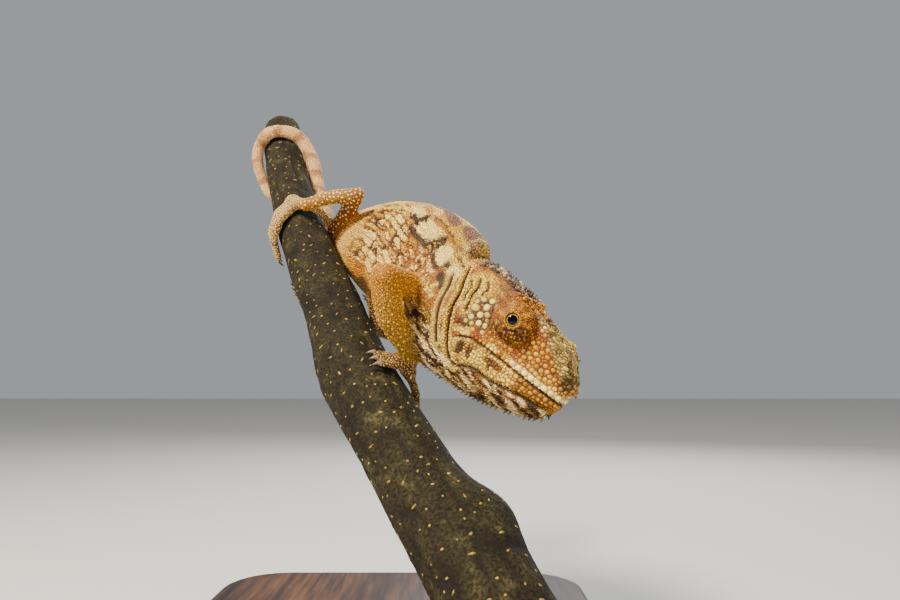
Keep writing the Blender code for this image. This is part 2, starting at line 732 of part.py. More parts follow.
# ---------------------------------------------------------------- the whole
def main():
    clear_scene()
    collection(PARTS)
    collection(CUTTERS)
    add_part("perch", branch_mesh("perch"), "bark")
    bark = add_cutter("round_branch", branch_mesh("round_branch", GAP))
    trunk = add_part("trunk", trunk_mesh("trunk"), "skin")
    cut(trunk, bark)
    around_trunk = add_cutter("round_trunk", trunk_mesh("round_trunk", GAP))
    neck = add_part("neck", neck_mesh("neck"), "skin")
    cut(neck, bark)
    body = (bark, around_trunk, add_cutter("round_neck", neck_mesh("round_neck", GAP)))
    add_head()
    arm = (ARM_RADII, FOREARM_RADII)
    leg = (THIGH_RADII, SHANK_RADII)
    leg_clear = body
    arm_clear = body + (add_cutter("round_head", head_mesh("round_head", GAP)),)
    for side in ("right", "left"):
        arm_points = (SHOULDER[side], ELBOW[side], FOREARM[side], WRIST[side])
        leg_points = (HIP[side], KNEE[side], SHANK[side], ANKLE[side])
        arm_clear += add_limb(("upper_arm", "forearm", "hand"), side, arm_points, arm, arm_clear)
        leg_clear += add_limb(("thigh", "shank", "foot"), side, leg_points, leg, leg_clear)
    add_tail((bark,))
    add_stand((bark,))


main()
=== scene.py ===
# %% [markdown]
# # A panther chameleon on its branch, life size
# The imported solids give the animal's true size, pose and outline. This lesson dresses them: one
# skin without seams, tens of thousands of scales, wet eyes, horny claws and rough bark. Every cell
# makes one thing or one tool, and prints what it made.

import json
import math

import bmesh
import bpy
import numpy as np
from mathutils import Matrix, Vector
from mathutils.bvhtree import BVHTree


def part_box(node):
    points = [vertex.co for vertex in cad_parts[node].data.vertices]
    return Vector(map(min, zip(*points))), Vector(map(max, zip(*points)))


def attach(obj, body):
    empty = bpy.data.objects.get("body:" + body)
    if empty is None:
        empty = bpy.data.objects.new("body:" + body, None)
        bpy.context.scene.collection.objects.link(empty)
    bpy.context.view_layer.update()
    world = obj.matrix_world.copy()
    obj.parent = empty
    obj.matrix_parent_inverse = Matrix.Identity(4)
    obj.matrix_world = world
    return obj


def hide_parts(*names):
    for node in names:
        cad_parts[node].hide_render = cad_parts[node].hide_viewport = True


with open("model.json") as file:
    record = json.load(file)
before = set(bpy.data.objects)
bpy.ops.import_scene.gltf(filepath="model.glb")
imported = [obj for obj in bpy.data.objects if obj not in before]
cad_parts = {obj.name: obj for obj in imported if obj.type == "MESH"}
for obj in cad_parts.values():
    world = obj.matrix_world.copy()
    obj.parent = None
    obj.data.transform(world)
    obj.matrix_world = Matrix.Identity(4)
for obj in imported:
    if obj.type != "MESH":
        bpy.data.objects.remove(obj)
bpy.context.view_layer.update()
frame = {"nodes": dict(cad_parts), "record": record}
nodes = frame["nodes"]

# %% [markdown]
# ## Camera, light and floor
# The camera stands a little below the animal and looks slightly up, a quarter of a metre away, as
# one meets a chameleon on a twig at eye level. A small warm key light from the upper left models the
# scales, a large weak one fills the right side, a third lights the back's edge, and a pale floor
# carries the stand.

# %% Camera
MM = 0.001


def add_object(name, data):
    made = bpy.data.objects.new(name, data)
    bpy.context.scene.collection.objects.link(made)
    return made


camera_data = bpy.data.cameras.new("camera")
camera_data.sensor_width = 36
camera_data.lens = 30
camera_data.clip_start = 0.01
camera = add_object("camera", camera_data)
camera.location = (0.020, -0.243, 0.100)
camera.rotation_euler = (math.radians(90 + 5.71), 0, 0)
bpy.context.scene.camera = camera
print("camera", round(camera_data.lens), "mm, at", tuple(round(v, 3) for v in camera.location))


# %% Lights
def add_area_light(name, place, target, size, power, colour):
    """A square soft box that faces its target."""
    data = bpy.data.lights.new(name, "AREA")
    data.size = size
    data.energy = power
    data.color = colour
    light = add_object(name, data)
    light.location = place
    light.rotation_mode = "QUATERNION"
    light.rotation_quaternion = (Vector(target) - Vector(place)).to_track_quat("-Z", "Y")
    return light


ANIMAL_CENTRE = (0.0, -0.02, 0.13)
add_area_light("key", (-0.34, -0.42, 0.62), ANIMAL_CENTRE, 0.14, 15, (1.0, 0.92, 0.78))
fill = add_area_light("fill", (0.60, -0.50, 0.22), ANIMAL_CENTRE, 0.60, 4.2, (1.0, 0.95, 0.86))
fill.visible_glossy = False  # the pupil mirrors only the key light
add_area_light("back", (0.20, 0.60, 0.55), ANIMAL_CENTRE, 0.50, 5, (0.95, 0.97, 1.0))
world = bpy.data.worlds.new("studio")
bpy.context.scene.world = world
world.use_nodes = True
world.node_tree.nodes["Background"].inputs["Color"].default_value = (0.86, 0.90, 0.95, 1)
world.node_tree.nodes["Background"].inputs["Strength"].default_value = 0.40

# %% [markdown]
# ## Colours and a tool for shader nodes
# Colours are picked as sRGB hex values, the way a paint chart gives them, and one function turns
# them to the linear values that a renderer adds and multiplies. Shader and geometry trees are
# built with one small function that adds a node, sets it and joins its inputs.


# %% Helpers for colour and nodes
def linear(code):
    """Linear red, green and blue of an sRGB hex colour."""
    values = [int(code[i : i + 2], 16) / 255 for i in (1, 3, 5)]
    return np.array([v / 12.92 if v <= 0.04045 else ((v + 0.055) / 1.055) ** 2.4 for v in values])


def paint(code):
    return (*linear(code), 1.0)


def node(tree, kind, inputs=None, **settings):
    """Adds a node. inputs maps a socket's name or number to a value or to another node's output."""
    made = tree.nodes.new(kind)
    for name, value in settings.items():
        setattr(made, name, value)
    for key, value in (inputs or {}).items():
        if isinstance(value, bpy.types.NodeSocket):
            tree.links.new(value, made.inputs[key])
        else:
            made.inputs[key].default_value = value
    return made


def calculate(tree, operation, *values):
    """The result of a Math node; a value is a number or another node's output."""
    return node(tree, "ShaderNodeMath", dict(enumerate(values)), operation=operation).outputs[0]


def combine(tree, operation, first, second):
    """The result of a Vector Math node with two vectors, such as colours to multiply."""
    return node(tree, "ShaderNodeVectorMath", {0: first, 1: second}, operation=operation).outputs[0]


# %% Helpers for materials
def new_material(name, **settings):
    """A material with one Principled shader, its uniform values set on the sockets themselves."""
    made = bpy.data.materials.new(name)
    made.use_nodes = True
    shader = made.node_tree.nodes["Principled BSDF"]
    for key, value in settings.items():
        shader.inputs[key.replace("_", " ").title().replace("Ior", "IOR")].default_value = value
    return made, made.node_tree, shader


def drawn_out(tree, scale):
    """The object's own coordinates times a scale; a small factor gives long streaks that way."""
    place = node(tree, "ShaderNodeTexCoord").outputs["Object"]
    return node(tree, "ShaderNodeMapping", {"Vector": place, "Scale": scale}).outputs[0]


def texture(tree, scale, detail, place=None, **inputs):
    """Noise of so many waves a metre on the object's own coordinates, or on a place that is given."""
    if place is None:
        place = node(tree, "ShaderNodeTexCoord").outputs["Object"]
    inputs = {"Vector": place, "Scale": scale, "Detail": detail, **inputs}
    return node(tree, "ShaderNodeTexNoise", inputs).outputs["Fac"]


def known(tree, name):
    """The node that reads an attribute of the mesh."""
    return node(tree, "ShaderNodeAttribute", attribute_name=name)


def toned(tree, value, stops):
    """The colour of a Color Ramp at a value; each stop is a place and a hex colour."""
    ramp = node(tree, "ShaderNodeValToRGB", {"Fac": value})
    elements = ramp.color_ramp.elements
    while len(elements) < len(stops):
        elements.new(0.5)
    for element, (place, code) in zip(elements, stops):
        element.position = place
        element.color = paint(code)
    return ramp.outputs["Color"]


def mix_colours(tree, share, first, second, blend_type="MIX"):
    """A colour between two others, or one multiplied by the other, by a share from 0 to 1."""
    inputs = {0: share, 6: first, 7: second}
    return node(tree, "ShaderNodeMix", inputs, data_type="RGBA", blend_type=blend_type).outputs[2]


def dress(tree, shader, colour, height=None, strength=0.0, distance=0.0):
    """Joins a colour to the shader, and a height as bump of so many metres."""
    if colour is not None:
        tree.links.new(colour, shader.inputs["Base Color"])
    if height is not None:
        bump = node(tree, "ShaderNodeBump", {"Height": height, "Strength": strength, "Distance": distance})
        tree.links.new(bump.outputs["Normal"], shader.inputs["Normal"])


# %% Floor
floor_material, _, _ = new_material("matt_paper", base_color=paint("#D9D6CF"), roughness=0.9)
floor_mesh = bpy.data.meshes.new("floor")
floor_shape = bmesh.new()
bmesh.ops.create_grid(floor_shape, x_segments=1, y_segments=1, size=3.0)
floor_shape.to_mesh(floor_mesh)
floor_shape.free()
floor = add_object("floor", floor_mesh)
floor.data.materials.append(floor_material)

# %% [markdown]
# ## Lines that run through the model
# Scales, wrinkles and markings need to know where on the body they are: how far along the spine or
# a leg, and how far round it. So the cell below repeats the middle lines that the solids were built
# on, in millimetres, and gives one smooth curve through each. Everything later reads from these.


# %% Curves through points
BLOCK = 20000  # points that are compared with a line at once, which bounds the memory


def between(values, t):
    """Catmull-Rom through the rows of an array; t runs from 0 to the last row's number."""
    values = np.asarray(values, float)
    last = len(values) - 1
    padded = np.vstack([values[0] * 2 - values[1], values, values[-1] * 2 - values[-2]])
    t = np.clip(np.asarray(t, float), 0, last)
    i = np.minimum(t.astype(int), last - 1)
    f = (t - i)[..., None]
    a, b, c, d = (padded[i + k] for k in range(4))
    cubic = 3 * b - a - 3 * c + d
    return 0.5 * (2 * b + (c - a) * f + (2 * a - 5 * b + 4 * c - d) * f**2 + cubic * f**3)


def unit(vectors):
    return vectors / np.maximum(np.linalg.norm(vectors, axis=-1, keepdims=True), 1e-12)


def dot(a, b):
    return (a * b).sum(-1)


def curve(points, count, smooth=True):
    """Points of a line in metres: its places, their distances along and its directions."""
    t = np.linspace(0, len(points) - 1, count)
    if smooth:
        line = between(points, t) * MM
    else:
        line = np.stack([np.interp(t, range(len(points)), column) for column in np.array(points).T], 1) * MM
    step = np.linalg.norm(np.diff(line, axis=0), axis=1)
    return line, np.concatenate([[0], np.cumsum(step)]), unit(np.gradient(line, axis=0))


def follow(points, line):
    """For each point, the nearest sample of a line: its number and the vector away from it."""
    places = line[0]
    nearest = np.empty(len(points), int)
    for start in range(0, len(points), BLOCK):
        block = points[start : start + BLOCK]
        gap = ((block[:, None] - places[None]) ** 2).sum(-1)
        nearest[start : start + BLOCK] = gap.argmin(1)
    return nearest, points - places[nearest]


# %% The branch's line, and places on its bark
# Middle line and radius of the branch from its lower cut end, and the swellings of old knots:
# distance along, angle round, height, reach along and reach round.
BRANCH = (
    (41, -87, 31, 12.8),
    (28.5, -71.5, 52, 12.2),
    (12, -54, 74, 10.5),
    (-4.5, -36, 98.5, 10.0),
    (-17, -14, 123, 8.9),
    (-30, 7.5, 148, 8.0),
    (-43, 37, 180, 7.4),
    (-48.4, 55, 199, 7.2),
)
BRANCH_MARK = 5  # distances along count from this row
BRANCH_TOP = np.array([0.83, -0.05, 0.55])
KNOTS = ((-124, -5, 3.4, 9, 50), (-66, 190, 1.3, 12, 60), (-22, 200, 0.6, 10, 50))

BRANCH_SAMPLES = 701
branch_line = curve([row[:3] for row in BRANCH], BRANCH_SAMPLES)
branch_steps = np.linspace(0, len(BRANCH) - 1, BRANCH_SAMPLES)
branch_radii = between([row[3:] for row in BRANCH], branch_steps)[:, 0]
mark = BRANCH_MARK * (BRANCH_SAMPLES - 1) // (len(BRANCH) - 1)
branch_distance = (branch_line[1] - branch_line[1][mark]) / MM
branch_side = unit(np.cross(BRANCH_TOP, branch_line[2]))
branch_top = np.cross(branch_line[2], branch_side)


def swelling(distance, degrees):
    """Millimetres that the knots raise the bark."""
    total = 0.0
    for along, angle, height, reach_along, reach_round in KNOTS:
        off = (distance - along) / reach_along
        turn = ((degrees - angle + 180) % 360 - 180) / reach_round
        total = total + height * np.exp(-(off**2) - turn**2)
    return total


def on_branch(distance, degrees, off=0.0):
    """Points off the bark, from distance and height in millimetres and angle in degrees."""
    distance, degrees, off = np.broadcast_arrays(distance, degrees, off)

    def pick(column):
        return np.interp(distance, branch_distance, column)

    samples = (branch_line[0], branch_side, branch_top)
    centre, side, top = (np.stack([pick(rows[:, k]) for k in range(3)], -1) for rows in samples)
    a = np.radians(degrees)[..., None]
    reach = (pick(branch_radii) + swelling(distance, degrees) + off)[..., None] * MM
    return centre + (top * np.cos(a) + side * np.sin(a)) * reach


print("branch", round(branch_distance[-1] - branch_distance[0]), "mm long")

# %% The animal's lines
# The spine, from the vent to the nape.
SPINE = (
    (-21.5, 19.7, 146.8),
    (-15.5, 14.5, 147.8),
    (-4.0, 3.6, 146.1),
    (7.0, -9.6, 140.4),
    (13.8, -24.2, 132.3),
    (18.0, -35.4, 124.6),
    (19.6, -42.6, 118.0),
)
BACK_WAY = np.array([0.69, -0.05, 0.72])
spine_line = curve(SPINE, 121)
spine_right = unit(np.cross(spine_line[2], BACK_WAY))
spine_up = np.cross(spine_right, spine_line[2])

# The head's frame: forward to the snout, up to the crown and right to the shown side.
HEAD_ORIGIN = np.array([20.6, -45.0, 112.6]) * MM
HEAD_TURN, HEAD_PITCH, HEAD_ROLL = (math.radians(v) for v in (-30, -30.6, -8))
ahead = Vector((math.cos(HEAD_TURN), math.sin(HEAD_TURN), 0)) * math.cos(HEAD_PITCH)
ahead.z = math.sin(HEAD_PITCH)
level_right = ahead.cross(Vector((0, 0, 1))).normalized()
roll = Matrix.Rotation(HEAD_ROLL, 3, ahead)
HEAD_AXES = np.array([ahead, roll @ level_right.cross(ahead), roll @ level_right])  # ahead, up, right


def head_place(f, u, o):
    """A point from millimetres ahead, up and to the right of the head's origin."""
    return HEAD_ORIGIN + np.stack(np.broadcast_arrays(f, u, o), -1) @ HEAD_AXES * MM


# Limbs: the ends and bends of their middle lines.
LIMBS = {
    "arm_right": ((14.5, -35, 122), (3.6, -55.6, 124.6), (4.6, -51, 115.2), (9.9, -42.6, 105.2)),
    "arm_left": ((22, -29, 118), (27, -11, 112), (14, -9, 113), (1, -12, 113)),
    "leg_right": ((-19.5, 9, 147), (-9.8, -6.6, 157.6), (-18.5, -4.5, 157.2), (-27.5, -2, 155.3)),
    "leg_left": ((-12.5, 14, 145), (-4.5, 26, 138), (-11, 20.5, 137), (-17, 12.5, 135)),
}
limb_lines = {name: curve(points, 61, smooth=False) for name, points in LIMBS.items()}

# The tail: distance along the branch, angle round it and height off the bark.
TAIL = (
    (3.5, -66, 6.4),
    (11, -54, 5.0),
    (20, -53, 3.8),
    (30, -48, 3.2),
    (39, -28, 3.0),
    (47, 2, 2.9),
    (52, 38, 2.8),
    (54, 90, 2.7),
    (51, 140, 2.6),
    (43, 172, 2.4),
    (35, 205, 2.2),
    (36, 250, 2.0),
    (44, 295, 1.8),
    (53, 335, 1.6),
    (60, 372, 1.3),
)
tail_points = on_branch(*np.array(TAIL, float).T)
tail_line = curve(tail_points / MM, 240)
for name, line in {"spine": spine_line, "tail": tail_line, **limb_lines}.items():
    print(name, round(line[1][-1] / MM), "mm")

# %% [markdown]
# ## Noise
# Bark, markings and the uneven size of scales all want numbers that wander smoothly from place to
# place. This is value noise: every corner of a grid gets a number from a hash of its whole
# coordinates, so that it is the same on every run, and a point blends its eight corners.


# %% Noise
def noise(points, size, seed=0):
    """Smooth numbers from -1 to 1 that change over about size millimetres."""
    place = points / (size * MM) + seed * 13.7
    cell = np.floor(place).astype(np.int64)
    f = place - cell
    f = f * f * (3 - 2 * f)
    total = np.zeros(len(points))
    for corner in range(8):
        step = np.array([corner >> 2 & 1, corner >> 1 & 1, corner & 1])
        x, y, z = (cell + step).T
        mixed = (x * 374761393 + y * 668265263 + z * 2147483647 + seed * 974634777) & 0xFFFFFFFF
        mixed = ((mixed ^ (mixed >> 13)) * 1274126177) & 0xFFFFFFFF
        value = ((mixed ^ (mixed >> 16)) & 0xFFFF) / 32767.5 - 1
        total += value * np.where(step, f, 1 - f).prod(1)
    return total


def rough_noise(points, size, seed=0, layers=3):
    """Noise with finer noise added on top."""
    return sum(noise(points, size / 2**k, seed + k) / 2**k for k in range(layers)) / 1.6


def ramp_up(x, low, high):
    """0 below low, 1 above high and smooth between; it falls where low is above high."""
    t = np.clip((x - low) / (high - low), 0, 1)
    return t * t * (3 - 2 * t)


def hill(x, middle, half):
    """1 at the middle, falling to about a third at half a width away."""
    return np.exp(-(((x - middle) / half) ** 2))


row = np.linspace(0, 10, 11)[:, None] * (MM, 0, 0)
print("noise 5 mm wide, a millimetre apart:", noise(row, 5.0).round(1))


# %% Mesh helpers
def mesh_from(name, points, faces):
    mesh = bpy.data.meshes.new(name)
    mesh.from_pydata(np.asarray(points).tolist(), [], faces)
    mesh.update()
    return mesh


def read(collection, key, width, kind=float):
    """One value of each item of a mesh's collection, such as co of its vertices, as an array of rows."""
    values = np.empty(len(collection) * width, kind)
    collection.foreach_get(key, values)
    return values.reshape(-1, width)


def points_of(mesh):
    return read(mesh.vertices, "co", 3)


def normals_of(mesh):
    return read(mesh.vertex_normals, "vector", 3, np.float32).astype(float)


def move_points(mesh, points):
    mesh.vertices.foreach_set("co", np.asarray(points, np.float32).ravel())
    mesh.update()


def add_colours(mesh, name, colours):
    """A colour for each vertex, linear, which a shader reads by the attribute's name."""
    layer = mesh.color_attributes.new(name, "FLOAT_COLOR", "POINT")
    filled = np.ones((len(colours), 4), np.float32)
    filled[:, :3] = np.clip(colours, 0, 1)
    layer.data.foreach_set("color", filled.ravel())


def add_numbers(mesh, name, numbers):
    layer = mesh.attributes.new(name, "FLOAT", "POINT")
    layer.data.foreach_set("value", np.asarray(numbers, np.float32))


def add_vectors(mesh, name, vectors):
    layer = mesh.attributes.new(name, "FLOAT_VECTOR", "POINT")
    layer.data.foreach_set("vector", np.asarray(vectors, np.float32).ravel())


def applied(item):
    """A plain copy of an object's mesh with its modifiers applied."""
    item_in_scene = item.evaluated_get(bpy.context.evaluated_depsgraph_get())
    return bpy.data.meshes.new_from_object(item_in_scene)


def grid_faces(rows, columns, first=0):
    """Quads of a tube of rows rings, each of columns points."""
    faces = []
    for r in range(rows - 1):
        for c in range(columns):
            d = (c + 1) % columns
            low, high = first + r * columns, first + (r + 1) * columns
            faces.append((low + c, low + d, high + d, high + c))
    return faces


def place_piece(name, mesh, material, replaced=()):
    """Adds a finished mesh, riding on the one body that the still model has."""
    made = add_object(name, mesh)
    if material:
        mesh.materials.clear()
        mesh.materials.append(material)
    mesh.shade_smooth()
    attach(made, "root")
    if replaced:
        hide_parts(*replaced)
    print(name, len(mesh.polygons), "faces")
    return made


# %% [markdown]
# ## The bark
# A living branch as thick as a thumb has smooth, tight bark, dark grey-brown, with shallow cracks
# along its length and raised pale dashes across it: lenticels, through which it breathes. The bark is
# a fine tube laid over the branch's line, its points moved in and out by noise that is stretched
# along the branch. The lenticels are separate small bodies, so they catch the light.

# %% Bark tube
BARK_RINGS = 420
BARK_SIDES = 150
BARK_DEPTH = 0.25  # millimetres from the solid's surface to the mean of the bark
NOISE_RADIUS = 60 / 6.28  # millimetres; noise is read on a straight branch this thick, to keep its size

bark_s = np.linspace(branch_distance[0] + 0.05, branch_distance[-1] - 0.05, BARK_RINGS)
bark_a = np.arange(BARK_SIDES) * 360 / BARK_SIDES
ring_s, ring_a = (grid.ravel() for grid in np.meshgrid(bark_s, bark_a, indexing="ij"))
around = np.radians(ring_a)
straight = np.stack([ring_s, np.cos(around) * NOISE_RADIUS, np.sin(around) * NOISE_RADIUS], 1) * MM
fibres = rough_noise(straight * [0.3, 1, 1], 1.3, 3)
plates = np.abs(noise(straight * [0.45, 1, 1], 4.5, 7))
lumps = noise(straight, 9.0, 11)
bark_height = -BARK_DEPTH + 0.2 * fibres + 0.22 * np.minimum(plates * 3, 1) - 0.1 + 0.12 * lumps
bark_points = on_branch(ring_s, ring_a, bark_height)
print("bark moves in and out by", round(float(np.ptp(bark_height)), 2), "mm")

# %% [markdown]
# A cut branch shows its wood: pale, with rings round the pith and a dark rim of bark. Each end of the
# tube is closed with rings of faces that shrink to the middle, and those faces get the wood's finish.


# %% Close the tube's ends
CAP_SHARES = (0.985, 0.9, 0.72, 0.5, 0.28)  # radii of the rings that close an end


def capped_tube(points, rings, sides):
    """Points and faces of a tube closed by shrinking rings, and the number of faces round its side."""
    faces = grid_faces(rings, sides)
    side_count = len(faces)
    points = [points]
    total = rings * sides
    for ring, inward in ((0, False), (rings - 1, True)):
        edge = points[0][ring * sides : (ring + 1) * sides]
        middle = edge.mean(0)
        last = [ring * sides + c for c in range(sides)]
        ends = []
        for share in CAP_SHARES:
            points.append(middle + (edge - middle) * share)
            now = [total + c for c in range(sides)]
            total += sides
            ends += [(last[c - 1], last[c], now[c], now[c - 1]) for c in range(sides)]
            last = now
        points.append(middle[None])
        ends += [(last[c - 1], last[c], total) for c in range(sides)]
        faces += ends if inward else [face[::-1] for face in ends]
        total += 1
    return np.vstack(points), faces, side_count


bark_all, bark_faces, side_faces = capped_tube(bark_points, BARK_RINGS, BARK_SIDES)
bark_mesh = mesh_from("bark", bark_all, bark_faces)
bark_mesh.flip_normals()  # now they face outwards
ends = len(bark_all) - len(bark_points)
# this attribute marks where the bark lies deepest, for painted shade in its cracks
add_numbers(bark_mesh, "crack_shade", np.append(ramp_up(bark_height, -0.15, -0.55), np.zeros(ends)))
from_pith = np.append(np.repeat(CAP_SHARES, BARK_SIDES), 0)
add_numbers(bark_mesh, "from_pith", np.concatenate([np.ones(len(bark_points)), from_pith, from_pith]))
print("the tube has", side_faces, "faces, and its ends", len(bark_faces) - side_faces)

# %% [markdown]
# The bark's colour comes from three things: a broad patchwork of grey-brown and olive, where algae
# grow, fine fibres along the branch, and painted shade, near black, where the bark lies deepest in
# its cracks, which the mesh already knows as an attribute.


# %% Bark material
def bark_material():
    """Smooth young bark: matt, grey-brown, olive where algae grow, with painted shade in its cracks."""
    made, tree, shader = new_material("smooth_living_bark", roughness=0.86, specular_ior_level=0.2)
    patches = texture(tree, 150.0, 6.0, Roughness=0.7)
    tone = toned(tree, patches, [(0.28, "#18130C"), (0.44, "#2A2214"), (0.56, "#332E18"), (0.72, "#5A5234")])
    fine = texture(tree, 1400.0, 4.0)
    grit = toned(tree, fine, [(0.38, "#4A4236"), (0.60, "#FFFFFF")])
    speckled = mix_colours(tree, 0.75, tone, grit, "MULTIPLY")
    # painted shade: near black where the bark lies deepest, in its cracks
    dark = mix_colours(tree, known(tree, "crack_shade").outputs["Fac"], speckled, paint("#15100C"))
    dress(tree, shader, dark, fine, 0.7, 0.0004)
    return made


def cut_wood_material():
    """Sawn end grain: pale wood with growth rings about a millimetre apart."""
    made, tree, shader = new_material("sawn_end_grain", roughness=0.75)
    bands = calculate(tree, "MULTIPLY", known(tree, "from_pith").outputs["Fac"], 55.0)
    wave = calculate(tree, "SINE", bands)
    rings = node(tree, "ShaderNodeMapRange", {"Value": wave, "From Min": -1.0}).outputs["Result"]
    dress(tree, shader, toned(tree, rings, [(0.0, "#8E6A43"), (0.5, "#C09A6B"), (1.0, "#D2B183")]))
    return made


place_piece("bark", bark_mesh, bark_material(), ["perch"])
bark_mesh.materials.append(cut_wood_material())
for face in bark_mesh.polygons[side_faces:]:
    face.material_index = 1
bark_mesh.set_sharp_from_angle(angle=math.radians(50))

# %% [markdown]
# ## The flesh
# The solids are parted by thin gaps, so that each is a body of its own. A living animal has one
# skin. The cell below copies all the flesh solids into one mesh, swells each by a fifth of a
# millimetre so that neighbours meet, and lets a voxel remesh wrap the whole in even quads. The
# swelling, and the depth of the scales on top, are taken off again along the normals.

# %% Join the flesh solids
record = frame["record"]
FLESH = [row["node"] for row in record["subparts"] if row["material_slot"] == "skin"]
SWELL = 0.2 * MM
VOXEL = 0.70 * MM
TURRET_SIZE = (6.0, 5.2)  # millimetres, half size across and along the gaze
TURRET_RIM = 5.75  # millimetres from the gaze to the crease round a turret
LENS_RADIUS = 1.80  # millimetres; the eye's rim lies under the lids
GAZE = {"right": (0.29, 0.05, 0.95), "left": (0.42, 0.10, 0.90)}  # ahead, up and out

turrets = {}
for side, sign in (("right", 1), ("left", -1)):
    low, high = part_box("turret_" + side)
    f, u, o = GAZE[side]
    gaze = unit(np.array([f, u, o * sign]) @ HEAD_AXES)
    turrets[side] = (np.array((low + high) / 2), gaze)

shell = bmesh.new()
for name in FLESH:
    part = bmesh.new()
    part.from_mesh(nodes[name].data)
    bmesh.ops.remove_doubles(part, verts=part.verts, dist=1e-6)
    part.normal_update()
    for vertex in part.verts:
        vertex.co += vertex.normal * SWELL
    swollen = bpy.data.meshes.new(name)
    part.to_mesh(swollen)
    part.free()
    shell.from_mesh(swollen)
for centre, gaze in turrets.values():
    turn = Vector(gaze).to_track_quat("Z", "Y").to_matrix().to_4x4()
    width, depth = (size * MM for size in TURRET_SIZE)
    matrix = Matrix.Translation(centre) @ turn @ Matrix.Diagonal((width, width, depth, 1))
    bmesh.ops.create_uvsphere(shell, u_segments=32, v_segments=16, radius=1, matrix=matrix)
joined = bpy.data.meshes.new("joined_flesh")
shell.to_mesh(joined)
shell.free()
wrap = add_object("wrap", joined)
remesh = wrap.modifiers.new("wrap", "REMESH")
remesh.mode = "VOXEL"
remesh.voxel_size = VOXEL
skin_mesh = applied(wrap)
skin_mesh.name = "skin"
bpy.data.objects.remove(wrap)
print("one skin of", len(skin_mesh.polygons), "quads")

# %% [markdown]
# A remesh leaves little steps, and the solids had flat facets. Both go by letting every point drift
# to the mean of its neighbours. That shrinks thin toes, so each second round pushes back by a
# little more than the first pulled, which is called Taubin smoothing.


# %% Smooth the skin
def drift(values, edges, share, rounds=1):
    """Moves each row of values towards the mean of its neighbours' rows."""
    a, b = edges.T
    values = np.array(values, float)
    flat_shape = values.reshape(len(values), -1)
    degree = np.maximum(np.bincount(np.concatenate([a, b]), minlength=len(values)), 1)
    for _ in range(rounds):
        for k in range(flat_shape.shape[1]):
            column = flat_shape[:, k]
            sums = np.bincount(a, column[b], len(values)) + np.bincount(b, column[a], len(values))
            flat_shape[:, k] = column + (sums / degree - column) * share
    return flat_shape.reshape(values.shape)


SMOOTHING = 14  # pairs of rounds
skin_edges = read(skin_mesh.edges, "vertices", 2, np.int64)
skin_points = points_of(skin_mesh)
for _ in range(SMOOTHING):
    for share in (0.55, -0.58):
        skin_points = drift(skin_points, skin_edges, share)
move_points(skin_mesh, skin_points)
print("smoothed", len(skin_points), "points")

# %% [markdown]
# The head needs the finest mesh, for the line of the mouth, the lids and the folds of the neck. Its
# faces, and those of the turrets, are each cut in four, and those round the pupils once more. The
# rest of the body keeps the coarser grid.

# %% Finer faces on the head
PARTS = {
    "trunk": ["trunk"],
    "neck": ["neck"],
    "head": ["head", "jaw"],
    "turret": ["turret_right", "turret_left"],
    "arm": ["upper_arm_right", "forearm_right", "upper_arm_left", "forearm_left"],
    "hand": ["hand_right", "hand_left"],
    "leg": ["thigh_right", "shank_right", "thigh_left", "shank_left"],
    "foot": ["foot_right", "foot_left"],
    "tail": ["tail_root", "tail_base", "tail_loop", "tail_under", "tail_tip"],
}
part_numbers = {name: number for number, name in enumerate(PARTS)}


def solids_tree():
    """A search tree over all flesh solids, and the part that each of its faces belongs to."""
    points, faces, owner = [], [], []
    for number, names in enumerate(PARTS.values()):
        for name in names:
            mesh = nodes[name].data
            first = len(points)
            points += [v.co.copy() for v in mesh.vertices]
            faces += [[first + i for i in face.vertices] for face in mesh.polygons]
            owner += [number] * len(mesh.polygons)
    return BVHTree.FromPolygons(points, faces), np.array(owner)


flesh_tree, face_owner = solids_tree()


def nearest_part(points):
    """The number of the body part that lies nearest to each point."""
    return np.array([face_owner[flesh_tree.find_nearest(Vector(p))[2]] for p in points])


def cut_faces(mesh, chosen):
    """Cuts each face between chosen points in four."""
    shape = bmesh.new()
    shape.from_mesh(mesh)
    shape.verts.ensure_lookup_table()
    edges = [e for e in shape.edges if chosen[e.verts[0].index] and chosen[e.verts[1].index]]
    bmesh.ops.subdivide_edges(shape, edges=edges, cuts=1, use_grid_fill=True, smooth=0.6)
    bmesh.ops.triangulate(shape, faces=[f for f in shape.faces if len(f.verts) > 4])
    shape.to_mesh(mesh)
    shape.free()


cut_faces(skin_mesh, np.isin(nearest_part(skin_points), [part_numbers["head"], part_numbers["turret"]]))
skin_points = points_of(skin_mesh)
near_pupil = np.zeros(len(skin_points), bool)
for centre, gaze in turrets.values():
    near_pupil |= np.linalg.norm(skin_points - centre - gaze * 5 * MM, axis=1) < 3.2 * MM
cut_faces(skin_mesh, near_pupil)
skin_points = points_of(skin_mesh)
skin_edges = read(skin_mesh.edges, "vertices", 2, np.int64)
print("skin now", len(skin_points), "points")

# %% [markdown]
# Before any wrinkle is made, the smooth skin is unwrapped. The map is used for one thing: each scale
# takes the spot of the map where it is rooted, so that colours can later be baked scale by scale.

# %% Unwrap the smooth skin
UV_MAP = "OFBake"
unwrapped = add_object("unwrapped", skin_mesh)
bpy.context.view_layer.objects.active = unwrapped
unwrapped.select_set(True)
bpy.ops.object.mode_set(mode="EDIT")
bpy.ops.mesh.select_all(action="SELECT")
skin_mesh.uv_layers.new(name=UV_MAP)
bpy.ops.uv.smart_project(angle_limit=math.radians(66), island_margin=0.002)
bpy.ops.object.mode_set(mode="OBJECT")
bpy.data.objects.remove(unwrapped)
skin_mesh.calc_loop_triangles()
triangles = read(skin_mesh.loop_triangles, "vertices", 3, np.int64)
corners = read(skin_mesh.loop_triangles, "loops", 3, np.int64)
skin_uv = read(skin_mesh.uv_layers[UV_MAP].data, "uv", 2, np.float32)
span = (*skin_uv.min(0).round(2), *skin_uv.max(0).round(2))
print(len(triangles), "triangles unwrapped; the map spans", [float(v) for v in span])

